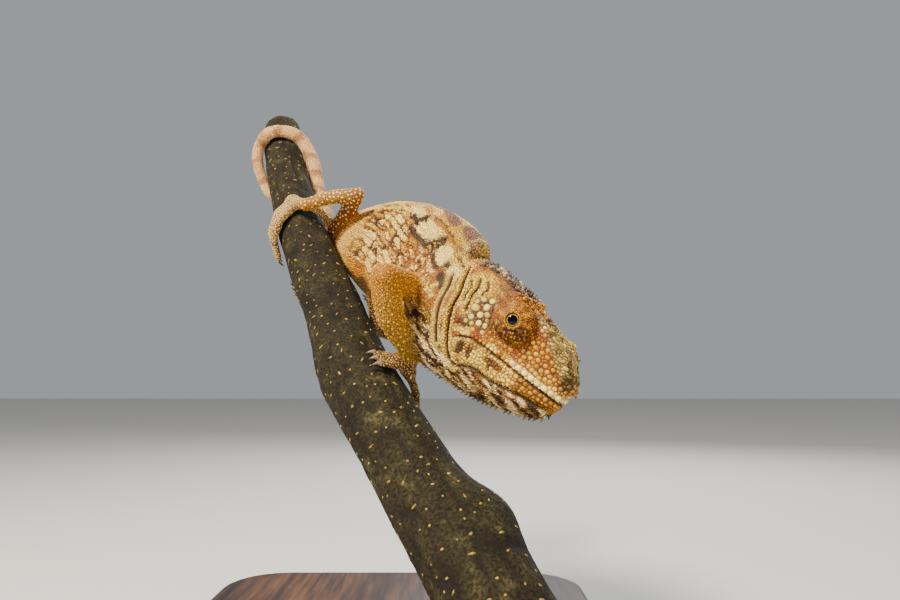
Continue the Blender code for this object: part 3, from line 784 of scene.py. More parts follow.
# %% [markdown]
# ## Where is each point of the skin?
# A marking says "on the flank, 60 mm in front of the vent" or "behind the eye". The next cell gives
# every point those numbers: its share in each body part, softened over the seams, its place in the
# head's frame, its distance along the spine and its angle round it, and the same for limbs and tail.


# %% Body coordinates
def spine_place(points):
    """Distance along the spine, angle from the back, offsets up and aside, and the way the spine runs."""
    nearest, away = follow(points, spine_line)
    up = dot(away, spine_up[nearest]) / MM
    side = dot(away, spine_right[nearest]) / MM
    along = (spine_line[1][nearest] + dot(away, spine_line[2][nearest])) / MM
    round_back = np.degrees(np.arctan2(np.abs(side), up / 1.6))
    return along, round_back, up, side, spine_line[2][nearest]


def limb_place(points):
    """Share along the nearest limb and the way it runs."""
    share, way = np.zeros(len(points)), np.zeros((len(points), 3))
    closest = np.full(len(points), np.inf)
    for line in limb_lines.values():
        nearest, away = follow(points, line)
        gap = np.linalg.norm(away, axis=1)
        better = gap < closest
        closest[better] = gap[better]
        share[better] = (line[1][nearest] / line[1][-1])[better]
        way[better] = line[2][nearest[better]]
    return share, way


def above(gaze):
    """The way that is up in the head and square to a gaze."""
    return unit(HEAD_AXES[1] - gaze * (HEAD_AXES[1] @ gaze))


def eye_place(points):
    """Along the nearer eye's gaze from its turret's centre, off it, and the angle round it."""
    out, off, turn = (np.full(len(points), 99.0) for _ in range(3))
    for name, (centre, gaze) in turrets.items():
        away = (points - centre) / MM
        along = away @ gaze
        radial = away - along[:, None] * gaze
        over = above(gaze)
        front = np.cross(over, gaze) * (1 if name == "right" else -1)
        near = np.linalg.norm(away, axis=1) < 9
        out[near] = along[near]
        off[near] = np.linalg.norm(radial, axis=1)[near]
        turn[near] = np.degrees(np.arctan2(radial @ over, radial @ front))[near]
    return out, off, turn


def body_places(points, shares):
    """Everything that markings and scales ask of a set of points, by name."""
    place = {"points": points, **{name: shares[:, number] for name, number in part_numbers.items()}}
    place["f"], place["u"], place["o"] = ((points - HEAD_ORIGIN) @ HEAD_AXES.T / MM).T
    for name, values in zip(("s", "round", "up", "side", "spine_way"), spine_place(points)):
        place[name] = values
    place["limb"], place["limb_way"] = limb_place(points)
    tail_nearest, _ = follow(points, tail_line)
    place["tail_s"], place["tail_way"] = tail_line[1][tail_nearest] / MM, tail_line[2][tail_nearest]
    place["eye_out"], place["eye_off"], place["eye_turn"] = eye_place(points)
    return place


part_shares = drift(np.eye(len(PARTS))[nearest_part(skin_points)], skin_edges, 0.6, 8)
place = body_places(skin_points, part_shares)
print("spine distance", place["s"].min().round(), "to", place["s"].max().round(), "mm")

# %% [markdown]
# ## Wrinkles, folds, lips and lids
# The smooth skin becomes a chameleon's by moving its points along their normals. A line drawn on the
# head's side view gives a crease where a point is near it: the mouth, the long groove behind the jaw,
# the curved folds behind the cheek and the groove that parts the chin from the throat. The flanks get
# cushions of skin with creases between, from a pattern of scattered cells.


# %% Tools for relief
def line_gap(x, y, corners):
    """Distance of points from a smooth line drawn through corners in a plane."""
    line = between(corners, np.linspace(0, len(corners) - 1, 6 * len(corners)))
    nearest = np.full(len(x), np.inf)
    for (ax, ay), (bx, by) in zip(line[:-1], line[1:]):
        length = (bx - ax) ** 2 + (by - ay) ** 2
        t = np.clip(((x - ax) * (bx - ax) + (y - ay) * (by - ay)) / length, 0, 1)
        nearest = np.minimum(nearest, (x - ax - t * (bx - ax)) ** 2 + (y - ay - t * (by - ay)) ** 2)
    return np.sqrt(nearest)


def crease(gap, width, depth, lips=0.35):
    """A valley with a soft lip on each side of it."""
    return lips * depth * hill(gap, 2.3 * width, width) - depth * hill(gap, 0, width)


def cells(points, size, seed=0):
    """Scattered cells: how far inside its cell a point is, 0 on a border, and the cell's number."""
    place = points / (size * MM) + seed * 7.3
    base = np.floor(place).astype(np.int64)
    first = np.full(len(points), 9.0)
    second = np.full(len(points), 9.0)
    number = np.zeros(len(points))
    for corner in range(27):
        cell = base + [corner // 9 - 1, corner // 3 % 3 - 1, corner % 3 - 1]
        mixed = (cell @ np.array([374761393, 668265263, 2147483647]) + seed * 974634777) & 0xFFFFFFFF
        spots = []
        for _ in range(3):
            mixed = ((mixed ^ (mixed >> 13)) * 1274126177) & 0xFFFFFFFF
            spots.append(((mixed >> 8) & 0xFFFF) / 65536)
        gap = np.linalg.norm(cell + 0.1 + 0.8 * np.stack(spots, 1) - place, axis=1)
        closer = gap < first
        second = np.where(closer, first, np.minimum(second, gap))
        number = np.where(closer, spots[0], number)
        first = np.where(closer, gap, first)
    return second - first, number


def height_of(line, f):
    """How high a line on the head's side view runs at a place ahead of the origin."""
    return np.interp(f, *np.array(line).T)


# %% Lines on the head's side view
# Places ahead and up of the head's origin in millimetres. A fold also has its width and depth.
MOUTH = ((6.5, -1), (8.5, 0.1), (11, 1), (15, 0.9), (20, 0.4), (25, -0.2), (30, -0.9), (36, -1.6), (41, -2.2))
JAW_FOLD = ((-2, 16), (0.2, 12), (1.8, 9.2), (2.4, 5.5), (3.4, 2.2), (4.6, -1), (5.8, -3.6), (7.4, -5.8))
JAW_END = (9.6, -7.4)  # where the fold behind the jaw meets the groove that parts chin from throat
FOLDS = (
    ((*JAW_FOLD, JAW_END), 0.5, 0.9),
    ((JAW_END, (12, -6.2), (15, -5.3), (20, -5.6), (25, -5.2), (30, -4.8), (35, -4.9)), 0.55, 0.6),
    (((1.9, 13.4), (3.3, 11.8), (3.5, 9.8), (4.2, 8.2)), 0.4, 0.55),
    (((3.8, 14.8), (5.0, 12.6), (5.0, 10.4), (5.6, 8.6), (6.2, 6.6)), 0.4, 0.55),
    (((6.2, 15.2), (7.6, 13.4), (7.2, 12.0)), 0.35, 0.4),
    (((-4.6, 12), (-2.6, 9), (-1.8, 5.5), (-0.8, 2), (0.8, -1.5), (2.6, -4.4)), 0.6, 0.5),
    (((-9.5, 17), (-7, 16.6), (-3.5, 15.2)), 0.5, 0.4),
)
CANTHUS = ((4, 18.6), (9, 18.4), (14, 17.2), (19, 15.2), (24.5, 13.0), (28, 10.6), (31, 7.8), (35, 4.0))
CHIN = ((0, -3), (9.6, -6.6), (12, -6.0), (15, -5.2), (20, -5.5), (25, -5.1), (35, -4.8))  # throat below
NOSTRIL = (32.6, 4.4)
print(len(FOLDS), "folds; the mouth is", MOUTH[-1][0] - MOUTH[0][0], "mm long")


# %% Relief
def flank_cells(place):
    """The cushions of skin on the flanks: long ones to the front, rounder towards the hips."""
    s = place["s"]
    length = 0.5 - 0.27 * ramp_up(s, 26, 46)
    stretched = np.stack([s * length, place["up"] + 0.14 * s, 0.6 * place["side"]], 1)
    wiggle = noise(place["points"], 3.0, 41)[:, None]
    inside, number = cells((stretched + 0.35 * wiggle) * MM, 2.15, 5)
    return ramp_up(inside, 0.05, 0.26), number


def head_relief(place):
    f, u = place["f"], place["u"]
    flat = ramp_up(np.abs(place["o"]), 1.5, 3.5) * ramp_up(f, -12, -8)
    rise = np.zeros(len(f))
    for line, width, depth in FOLDS:
        rise += flat * crease(line_gap(f, u, line), width, depth)
    mouth = np.abs(u - height_of(MOUTH, f))
    rise += ramp_up(f, 6.5, 8.5) * (0.25 * hill(mouth, 1.1, 0.7) - 0.6 * hill(mouth, 0, 0.30))
    rise += flat * 0.4 * hill(line_gap(f, u, CANTHUS), 0, 0.8)
    rise -= flat * 0.7 * hill(np.hypot(f - NOSTRIL[0], u - NOSTRIL[1]), 0, 0.45)
    return rise


def eye_relief(place):
    out, off = place["eye_out"], place["eye_off"]
    dome = ramp_up(out, 0.8, 2.2)
    rings = 0.03 * np.cos(off * math.tau / 0.9) * ramp_up(off, 2.4, 3) * dome
    lids = dome * (0.4 * hill(off, 2.05, 0.42) - 1.5 * ramp_up(off, 1.75, 1.3))
    orbit = ramp_up(out, -3, -1) * (0.25 * hill(off, 6.9, 0.6) - 0.5 * hill(off, 6.05, 0.4))
    return rings + lids + orbit


def relief(place):
    """Millimetres that wrinkles, folds, lips and lids raise each point of the smooth skin."""
    trunk = place["trunk"] * ramp_up(place["s"], 24, 34) * ramp_up(place["round"], 38, 55)
    trunk *= ramp_up(place["round"], 150, 130)
    cushions, _ = flank_cells(place)
    stretched = np.stack([place["s"] * 0.35, place["up"], place["side"]], 1) * MM
    rise = head_relief(place) * (1 - np.clip(place["arm"] + place["hand"], 0, 1))
    rise *= 1 - np.clip(place["turret"] * 1.2, 0, 1)
    rise += eye_relief(place)
    rise += trunk * (0.7 * cushions - 0.4)
    rise += place["trunk"] * 0.16 * rough_noise(stretched, 3.0, 51)
    body = place["arm"] + place["leg"] + place["tail"]
    return rise + body * 0.08 * rough_noise(place["points"], 2.4, 61)


COAT_DEPTH = 0.28  # millimetres that scales stand off the skin
normals = unit(drift(normals_of(skin_mesh), skin_edges, 0.5, 3))
rise = relief(place)
skin_points = skin_points + normals * ((rise - COAT_DEPTH) * MM - SWELL)[:, None]
move_points(skin_mesh, skin_points)
normals = normals_of(skin_mesh)
place["points"] = skin_points
print("relief from", rise.min().round(2), "to", rise.max().round(2), "mm")

# %% [markdown]
# ## Colours of the animal
# The markings are painted as a painter would, from the ground up: a base colour for each part of the
# body, then layers on top, each a colour and how much of it lies where. An edge wanders with noise,
# as no marking on skin is ruled. Each scale takes one colour from its root, and a large scale is paler
# than the fine grain round it, so a function returns the colour for points and for how big they are.


# %% Tools for markings
PIGMENT = np.array([(1.15, -0.30, 0.21), (0.02, 0.97, -0.07), (0.09, -0.56, 1.28)])


def pigment(code):
    """The linear colour to lay on, so that the lit model shows the chosen colour.

    The film-like view turns bright strong colours pale. So an orange has to be laid on without any
    blue in it, and darker than a cream, to look like an orange at all.
    """
    shown = linear(code)
    strength = 1 - shown.min() / shown.max()
    laid = PIGMENT @ shown * (1 - 0.50 * strength**2.2)
    return np.maximum(laid, 0.001) * min(1.0, 0.93 / laid.max())


def blend(colours, layers):
    """Lays layers on a ground colour: each is a hex colour and how much of it lies on each point."""
    for code, amount in layers:
        amount = np.clip(amount, 0, 1)[:, None]
        colours = colours * (1 - amount) + pigment(code) * amount
    return colours


def spot(x, y, at, size, wander, turn=0, power=2):
    """1 in an ellipse, 0 outside; a higher power makes it squarer, and turn tips it, in degrees."""
    a = math.radians(turn)
    along = (x - at[0]) * math.cos(a) + (y - at[1]) * math.sin(a)
    across = (y - at[1]) * math.cos(a) - (x - at[0]) * math.sin(a)
    away = (np.abs(along / size[0]) ** power + np.abs(across / size[1]) ** power) ** (1 / power)
    return ramp_up(away + 0.22 * wander, 1.12, 0.82)


def within(x, low, high, soft):
    """1 between low and high, with soft edges."""
    return ramp_up(x, low - soft / 2, low + soft / 2) * ramp_up(x, high + soft / 2, high - soft / 2)


CREAM = "#F8D898"
PALE = "#FDE6B4"
BARK_BROWN = "#4A2C0C"
for code in (CREAM, PALE, BARK_BROWN):
    print(code, "is laid on as", pigment(code).round(2))


# %% Trunk markings
# Blotches along the upper flank: colour, distance along the spine, degrees from the back, half sizes.
BLOTCHES = (
    (BARK_BROWN, 63.0, 66.5, 8.4, 14),
    (PALE, 62, 63.5, 6.1, 10.5),
    (BARK_BROWN, 77.4, 66.5, 6.2, 13),
    (PALE, 76.3, 64, 4.3, 9.5),
    (BARK_BROWN, 51.5, 61, 4.6, 9),
    (PALE, 47.0, 56, 5.6, 6.0),
    (CREAM, 34, 58, 5.0, 5.5),
    (CREAM, 23, 60, 4.5, 5.5),
)
# Slanting saddles over the back: distance, degrees and half sizes.
SADDLES = ((58, 28, 8.0, 9), (71.5, 20, 6.5, 17), (45, 18, 5.0, 9), (33, 18, 4.5, 9))


def on_flank(place):
    """1 on the flanks, between the back's ridge and the belly, and ahead of the hips."""
    return ramp_up(place["s"], 20, 34) * within(place["round"], 50, 144, 12)


def trunk_colours(place, big):
    points, s, turn = place["points"], place["s"], place["round"]
    wander, fine = noise(points, 2.6, 71), noise(points, 1.1, 72)
    broad, salt = rough_noise(points, 7, 73), noise(points, 0.45, 74)
    cushion, number = flank_cells(place)
    flank = on_flank(place)
    crevice = 1 - cushion
    shoulder = ramp_up(s, 60, 66) * within(turn, 78, 112, 10)
    ridge = ramp_up(turn, 52, 42)
    belly = spot(s, turn, (38, 148), (5, 9), wander)
    layers = [
        ("#F0BE7E", 0.7 * ramp_up(broad, -0.2, 0.5)),
        ("#E9A650", 0.9 * flank),
        ("#FCDFAA", flank * cushion * ramp_up(number, 0.05, 0.3)),
        ("#F0B868", flank * cushion * ramp_up(number, 0.72, 0.85) * 0.8),
        ("#B5660E", 0.97 * flank * ramp_up(crevice + 0.1 * wander, 0.3, 0.6)),
        ("#4A240A", 0.95 * flank * ramp_up(crevice + 0.5 * wander + 0.2 * fine, 0.75, 1.05)),
        ("#D4811C", shoulder * ramp_up(wander, -0.4, 0.1) * 0.9),
        ("#F6DDB0", shoulder * ramp_up(fine + 0.6 * salt, 0.3, 0.5)),
        ("#4A220A", shoulder * ramp_up(fine + 0.6 * salt, -0.4, -0.7)),
        ("#E9BE88", ramp_up(turn, 54, 44)),
        ("#C08A5C", ridge * ramp_up(wander + 0.4 * salt, 0.0, 0.5) * 0.85),
        ("#F6DDB4", ridge * ramp_up(wander + 0.5 * salt, -0.1, -0.5) * 0.9),
        ("#E2B26C", 0.85 * within(s, 58, 86, 5) * within(turn, 36, 60, 5)),
    ]
    for at, deg, along, down in SADDLES:
        slant = turn - 0.9 * (s - at)
        layers.append(("#74524A", 0.95 * spot(s, slant, (at, deg), (along, down), 0.8 * wander, 0, 3)))
    for code, at, deg, along, down in BLOTCHES:
        layers.append((code, 0.97 * spot(s, turn, (at, deg), (along, down), wander, 4, 6)))
    layers += [
        ("#D98A2C", 0.8 * hill(turn, 50 + 2 * wander, 2.4) * ramp_up(s, 54, 58)),
        ("#4A260C", 0.9 * hill(turn, 47 + 2.5 * wander, 1.1) * ramp_up(s, 50, 56)),
        ("#E68A2E", belly),
        ("#6B4718", ramp_up(turn + 6 * wander, 148, 160) * (1 - belly)),
        ("#F4C796", 0.75 * ramp_up(s, 28, 18) * ramp_up(turn, 80, 100) * ramp_up(turn, 150, 135)),
    ]
    return blend(pigment("#E3A468"), layers)


# %% Head and neck markings
# Colour, place ahead and up, half sizes, degrees of turn and strength.
HEAD_SPOTS = (
    ("#DDB57C", (-6.5, 17.0), (6.5, 5.0), 0, 0.95),
    ("#8A6A50", (-3.5, 19.0), (3.0, 1.6), -20, 0.8),
    ("#E4AE64", (7.0, 15.0), (6.5, 2.6), -8, 0.85),
    ("#5A3A22", (8.6, 13.6), (2.4, 0.6), -30, 0.8),
    ("#5A3A22", (11.6, 15.4), (2.6, 0.6), -20, 0.7),
    ("#EDB066", (8.6, 8), (5.2, 5.8), 0, 0.9),
    ("#6A3A10", (9.6, 7.6), (4.2, 3.8), -20, 0.55),
    ("#4A2408", (9.7, 6.6), (2.4, 0.7), -20, 0.9),
    ("#4A2408", (9.4, 10.3), (2.6, 0.6), 25, 0.85),
    ("#4A2408", (12.0, 9.6), (0.6, 1.5), 0, 0.7),
    ("#8A3E0A", (12.4, 12.6), (2.2, 0.7), -30, 0.7),
    ("#E8941A", (18.5, 3.8), (4.0, 1.6), -8, 0.85),
    (CREAM, (8.2, 1.7), (2.9, 0.9), 12, 0.95),
    ("#4A1E08", (7.2, 3.4), (2.2, 0.9), 8, 0.9),
    ("#B9560F", (12.0, 2.6), (1.6, 1.1), 0, 0.8),
    (CREAM, (17.0, 1.9), (2.3, 0.9), -4, 0.95),
    ("#E9A04A", (14.6, 2.6), (1.4, 1.2), 0, 0.7),
    ("#F6C87A", (21.5, 1.6), (1.6, 0.9), 0, 0.7),
    (PALE, (3.6, 9.6), (0.8, 3.6), 8, 0.9),
    (CREAM, (2.4, 12.6), (1.6, 1.6), 0, 0.8),
    ("#4A220C", (9.6, -2.4), (1.15, 2.2), -8, 0.95),
    ("#5B2A0C", (12.1, -2.1), (0.8, 1.9), 10, 0.9),
    (CREAM, (14.9, -2.2), (1.9, 1.9), 0, 0.9),
    ("#8E4408", (19.0, -1.5), (3.2, 1.0), -6, 0.9),
    ("#3C2008", (18.3, -2.7), (0.5, 0.6), 0, 0.9),
    (CREAM, (22.9, -2.0), (1.5, 1.3), 0, 0.85),
    ("#6A4A16", (26.8, -3.2), (0.35, 2.0), 8, 0.8),
    ("#3C2008", (9.2, -7.2), (2.0, 0.9), -25, 0.9),
    ("#3C2008", (-5.4, 9.2), (3.6, 1.3), -32, 0.95),
    ("#3C2008", (-8.8, 13.4), (2.2, 1.0), 0, 0.95),
    ("#F4DDB2", (-4.6, 13.0), (2.6, 2.0), -20, 0.95),
    ("#4A220C", (0.0, 13.8), (1.4, 0.6), -55, 0.8),
    ("#E9972E", (18, 14.4), (4.6, 1.8), -25, 0.8),
    ("#4A2A18", (36.6, 3.2), (2.2, 2.4), 0, 0.75),
)


def head_colours(place, big):
    points, f, u = place["points"], place["f"], place["u"]
    wander, fine = noise(points, 1.5, 81), noise(points, 0.8, 82)
    broad, salt = rough_noise(points, 4, 83), noise(points, 0.45, 85)
    streaks = noise(np.stack([f * 0.5 + u * 0.9, u * 0.35 - f * 0.2, place["o"] * 0.5], 1) * MM, 0.9, 84)
    mottle = wander + 0.5 * salt
    side = ramp_up(np.abs(place["o"]), 1.5, 3.5)
    ridge, mouth, chin = (height_of(line, f) for line in (CANTHUS, MOUTH, CHIN))
    below = ramp_up(u, chin + 0.4, chin - 0.7)
    crown = ramp_up(u, ridge - 1.2, ridge + 0.4) * within(f, -1, 23.5, 3)
    snout = ramp_up(u, ridge - 1.8 + 0.8 * wander, ridge - 0.2) * ramp_up(f, 21.5, 24.5)
    jaw = ramp_up(u, mouth + 0.1, mouth - 0.1) * (1 - below)
    neck = ramp_up(f + 0.28 * u, 3.4, 1.8)
    nape, hump, dewlap = (neck * part for part in (ramp_up(u, 0, 3), ramp_up(u, 17, 19.5), ramp_up(u, 3, -1)))
    face = within(f, 20, 36, 3)
    layers = [
        ("#D07A0E", 0.9 * face * ramp_up(u, 0.5, 3)),
        ("#F0B65C", face * ramp_up(u, 1.5, 4) * ramp_up(big, 0.2, 0.9) * 0.85),
        ("#F4CC88", within(f, 22, 37, 3) * ramp_up(u, 4.0, 1.0) * (0.3 + 0.6 * big)),
        (PALE, 0.95 * ramp_up(f, 21, 23) * within(u - mouth, 0.35, 1.9, 0.3)),
        ("#B7620C", 0.75 * ramp_up(mottle - 0.5 * big, 0.1, 0.5) * ramp_up(u, 0, 3)),
        ("#F3CF92", 0.9 * jaw * ramp_up(f, 27, 24)),
        ("#CF8A2C", 0.85 * jaw * ramp_up(f, 24, 27)),
        ("#B5781E", 0.75 * jaw * ramp_up(wander + 0.6 * salt, 0.1, 0.5)),
        ("#B98A50", neck),
        ("#C87420", nape * ramp_up(wander, 0.4, -0.3)),
        (CREAM, nape * ramp_up(wander + 0.5 * big + 0.3 * salt, 0.25, 0.5)),
        ("#94745C", 0.9 * hump),
        ("#E4C698", 0.8 * hump * ramp_up(wander + 0.3 * salt, 0.0, 0.4)),
        ("#45220E", dewlap * ramp_up(streaks + 0.4 * salt, 0.05, 0.35)),
        ("#EAD9BE", dewlap * ramp_up(streaks + 0.4 * salt, -0.1, -0.4)),
        # painted shade: the crown and the top of the snout are grey for their shaded upper faces; the mottles
        # on them are their own colour
        ("#5C5652", crown),
        ("#3E2E24", crown * ramp_up(mottle, 0.0, 0.35)),
        ("#B8A68C", crown * ramp_up(mottle, -0.25, -0.55)),
        ("#A68E68", 0.95 * snout),
        ("#D2BE98", 0.8 * snout * ramp_up(salt, 0.1, 0.4)),
        ("#5A4424", snout * ramp_up(mottle, 0.15, 0.5) * 0.85),
    ]
    for code, at, size, turn, strength in HEAD_SPOTS:
        layers.append((code, strength * side * spot(f, u, at, size, wander, turn)))
    cheek = within(f, 5.6, 13.4, 1) * within(u, 3.4, 12, 1) * side
    layers += [
        ("#A8845C", below * (1 - neck)),
        ("#EFE0C4", below * ramp_up(streaks + 0.5 * salt, 0.05, 0.35)),
        ("#B5651D", below * ramp_up(broad + 0.4 * salt, 0.35, 0.6)),
        ("#3E2414", below * ramp_up(streaks + 0.5 * salt, -0.2, -0.45)),
        ("#EBC88E", 0.8 * cheek * ramp_up(big, 0.6, 0.9)),
        ("#DAD6A4", 0.9 * cheek * ramp_up(big, 0.8, 0.98) * ramp_up(fine, -0.15, 0.05)),
        ("#7A4410", 0.7 * cheek * ramp_up(big, 0.3, 0.05) * ramp_up(wander, -0.3, 0.1)),
    ]
    for line, width, _ in FOLDS:
        gap = line_gap(f, u, line)
        if line[0][0] < 9:  # the folds of neck and cheek have pale lips, the chin's groove has none
            layers.append((CREAM, side * 0.8 * hill(gap, 1.0, 0.5)))
        # painted shade: the fold's groove is darkened
        layers.append(("#4A260A", side * ramp_up(gap, 0.85 * width, 0.5 * width)))
    layers.append(("#241204", ramp_up(f, 6.5, 8) * ramp_up(np.abs(u - mouth), 0.34, 0.14)))
    return blend(pigment("#CC7610"), layers)


# %% Turret, limb and tail markings
def turret_colours(place, big):
    off, turn = place["eye_off"], place["eye_turn"]
    fine, salt = noise(place["points"], 1.2, 91), noise(place["points"], 0.4, 92)
    low = ramp_up(np.sin(np.radians(turn - 14)) * off, -0.6, -1.6)
    rays = np.zeros(len(off))
    for way, half in ((90, 6), (122, 12), (178, 9), (50, 9), (8, 7)):
        rays = np.maximum(rays, hill((turn - way + 180) % 360 - 180, 0, half))
    layers = [
        ("#B8600A", 0.7 * ramp_up(fine + 0.3 * salt, 0.1, 0.6)),
        ("#964806", 0.8 * ramp_up(np.cos(off * math.tau / 1.3), 0.55, 0.95) * ramp_up(off, 2.6, 3.2)),
        ("#F2B658", 0.95 * rays * ramp_up(off, 1.6, 2.4) * ramp_up(off, 5.2, 4.4)),
        ("#A85A14", 0.95 * low),
        ("#3A1604", low * ramp_up(salt + 0.2 * fine, -0.1, -0.35) * 0.9),
        # painted glints: gold specks on the dark lower part stand for sparkles of light
        ("#F2C068", low * ramp_up(salt + 0.2 * fine, 0.15, 0.35)),
        ("#D99A34", ramp_up(off, 2.4, 2.0)),
        # painted shade: a dark arc in the crease round the turret, on its lower side
        ("#2E1206", 0.9 * hill(off, TURRET_RIM, 0.25) * ramp_up(np.sin(np.radians(turn + 20)), 0.75, 0.1)),
        ("#2A1206", ramp_up(off, 1.75, 1.5)),
    ]
    return blend(pigment("#D27C0A"), layers)


def limb_colours(place, big):
    points, along = place["points"], place["limb"]
    wander = noise(points, 2.2, 95)
    arm, hand = place["arm"], place["hand"]
    share = (arm + hand) / np.maximum(arm + hand + place["leg"] + place["foot"], 1e-6)
    fore = blend(
        pigment("#F09C1E"),
        [
            ("#DA8A18", 0.7 * ramp_up(wander, 0.0, 0.6)),
            ("#E4A238", ramp_up(along, 0.45, 0.65)),
            ("#C4924A", ramp_up(along, 0.68, 0.92)),
            ("#7A5436", ramp_up(hand, 0.3, 0.8)),
            ("#FBCB76", 0.9 * big * ramp_up(along, 0.75, 0.45)),
            ("#E6C89A", 0.7 * big * ramp_up(along, 0.5, 0.8)),
        ],
    )
    # painted shade: the thigh's darker orange, under the lighter shank, stands for its shaded underside
    hind = blend(
        pigment("#C06E1E"),
        [
            ("#D8974C", ramp_up(along, 0.4, 0.6)),
            ("#C29A6C", ramp_up(place["foot"], 0.3, 0.8)),
            ("#8A4A18", 0.6 * ramp_up(wander, 0.25, 0.6)),
            ("#F3DDBE", 0.8 * big),
        ],
    )
    return fore * share[:, None] + hind * (1 - share)[:, None]


def tail_colours(place, big):
    s = place["tail_s"]
    wander = noise(place["points"], 2.0, 97)
    layers = [
        ("#C48360", 0.75 * ramp_up(np.cos((s + 1.5 * wander) * math.tau / 8.5), 0.1, 0.8)),
        ("#F8E4CC", 0.6 * big + 0.3 * ramp_up(wander, 0.1, 0.6)),
        ("#9A6A48", 0.4 * ramp_up(wander, -0.3, -0.7)),
    ]
    return blend(pigment("#EBC3A0"), layers)


def marking(place, big):
    """The colour of skin and scales, linear; big is 0 for the skin and up to 1 for the largest scale."""
    trunk_side = ramp_up(place["f"], -8.5, -10.5)
    core = place["trunk"] + place["neck"] + place["head"]
    parts = (
        (core * trunk_side, trunk_colours),
        (core * (1 - trunk_side), head_colours),
        (place["turret"], turret_colours),
        (place["arm"] + place["hand"] + place["leg"] + place["foot"], limb_colours),
        (place["tail"], tail_colours),
    )
    total = sum(share for share, _ in parts)
    return sum((share / total)[:, None] * paints(place, big) for share, paints in parts)


skin_colours = marking(place, np.zeros(len(skin_points)))
print("mean colour of the skin", skin_colours.mean(0).round(2))

# %% [markdown]
# ## Scales
# A chameleon's skin is covered with thousands of granules, each a low dome of horn. Some are large,
# and the small ones fill the room between them. They are planted like this: random spots are tried in
# turn, and a spot becomes a scale where there is room for one of its size. Where the room is a little
# too small, the scale is made smaller to fit, so that the skin is covered as a pebble beach is.


# %% How large the scales are
def grain(place):
    """Wanted half width of the small scales in millimetres, at each point."""
    f, u = place["f"], place["u"]
    cushion, _ = flank_cells(place)
    trunk = 0.40 - 0.10 * (1 - cushion) * on_flank(place)
    throat = u < height_of(CHIN, f)
    head = np.full(len(f), 0.44)
    head[(f > 22) & ~throat] = 0.56
    head[throat] = 0.30
    head[f + 0.28 * u < 3.2] = 0.36
    head[u > height_of(CANTHUS, f)] = 0.42
    for line, width, _ in FOLDS:
        head[line_gap(f, u, line) < 1.2 * width] = 0.25
    limb = place["arm"] * 0.30 + place["leg"] * 0.32 + (place["hand"] + place["foot"]) * 0.28
    tail = place["tail"] * np.interp(place["tail_s"], (0, 60, 131), (0.38, 0.34, 0.24))
    core = place["neck"] * 0.38 + place["head"] * head + place["trunk"] * trunk
    return np.maximum(core + limb + tail + place["turret"] * 0.26, 0.22)


def tubercles(place):
    """Half width and spacing in millimetres of the large scales among the small; 0 where none stand."""
    f, u, toes = place["f"], place["u"], place["hand"] + place["foot"]
    width = 0.42 * place["arm"] + 0.42 * place["leg"] + 0.30 * toes
    space = 1.55 * place["arm"] + 1.5 * place["leg"] + 1.1 * toes
    cheek = place["head"] * within(f, 5, 22, 2) * ramp_up(u, 1.2, 2.2) * ramp_up(u, 15, 13)
    arms = place["arm"] * ramp_up(place["limb"], 0.7, 0.5)
    width -= 0.04 * arms
    space -= 0.25 * arms
    front = place["head"] * ramp_up(f, 22, 24) * ramp_up(u, -4, -3) * ramp_up(u, 11, 9)
    cushion, _ = flank_cells(place)
    flank = place["trunk"] * ramp_up(place["s"], 20, 34) * within(place["round"], 50, 145, 10)
    flank *= ramp_up(cushion, 0.5, 0.9)
    width += 0.68 * cheek + 0.64 * front + 0.6 * flank + 0.44 * place["neck"] * (1 - cheek)
    space += 1.8 * cheek + 1.5 * front + 1.35 * flank + 1.5 * place["neck"] * (1 - cheek)
    return width, space


grains = grain(place)
tubercle_sizes, tubercle_gaps = tubercles(place)
print("small scales are", (2 * grains.min()).round(2), "to", (2 * grains.max()).round(2), "mm across")


# %% Points strewn on the skin
random = np.random.default_rng(11)
corner_places = skin_points[triangles]
first, second, third = (corner_places[:, k] for k in range(3))
areas = np.linalg.norm(np.cross(second - first, third - first), axis=1) / (2 * MM * MM)


def strew(weights, count):
    """Random spots, more where the weights are high: triangle numbers and shares of its corners."""
    chance = np.cumsum(areas * weights)
    chosen = np.searchsorted(chance, random.random(count) * chance[-1])
    a, b = random.random((2, count))
    fold = a + b > 1
    a, b = np.where(fold, 1 - a, a), np.where(fold, 1 - b, b)
    return np.minimum(chosen, len(triangles) - 1), np.stack([1 - a - b, a, b], 1)


def at_spots(values, spots):
    """Values that belong to the skin's points, mixed for spots inside its triangles."""
    chosen, shares = spots
    picked = values[triangles[chosen]]
    return (picked * shares.reshape(shares.shape + (1,) * (picked.ndim - 2))).sum(1)


def uv_at(spots):
    chosen, shares = spots
    return (skin_uv[corners[chosen]] * shares[:, :, None]).sum(1)


def mean_of(values):
    """The mean of a value at each triangle's corners."""
    return values[triangles].mean(1)


print("the skin measures", round(areas.sum() / 100), "square centimetres")


# %% Planting scales where there is room
PACKING = 0.90  # scales may overlap at their sunken rims by a tenth
FACING_AWAY = 0.1  # two scales whose normals agree less lie on opposite sides and don't compete


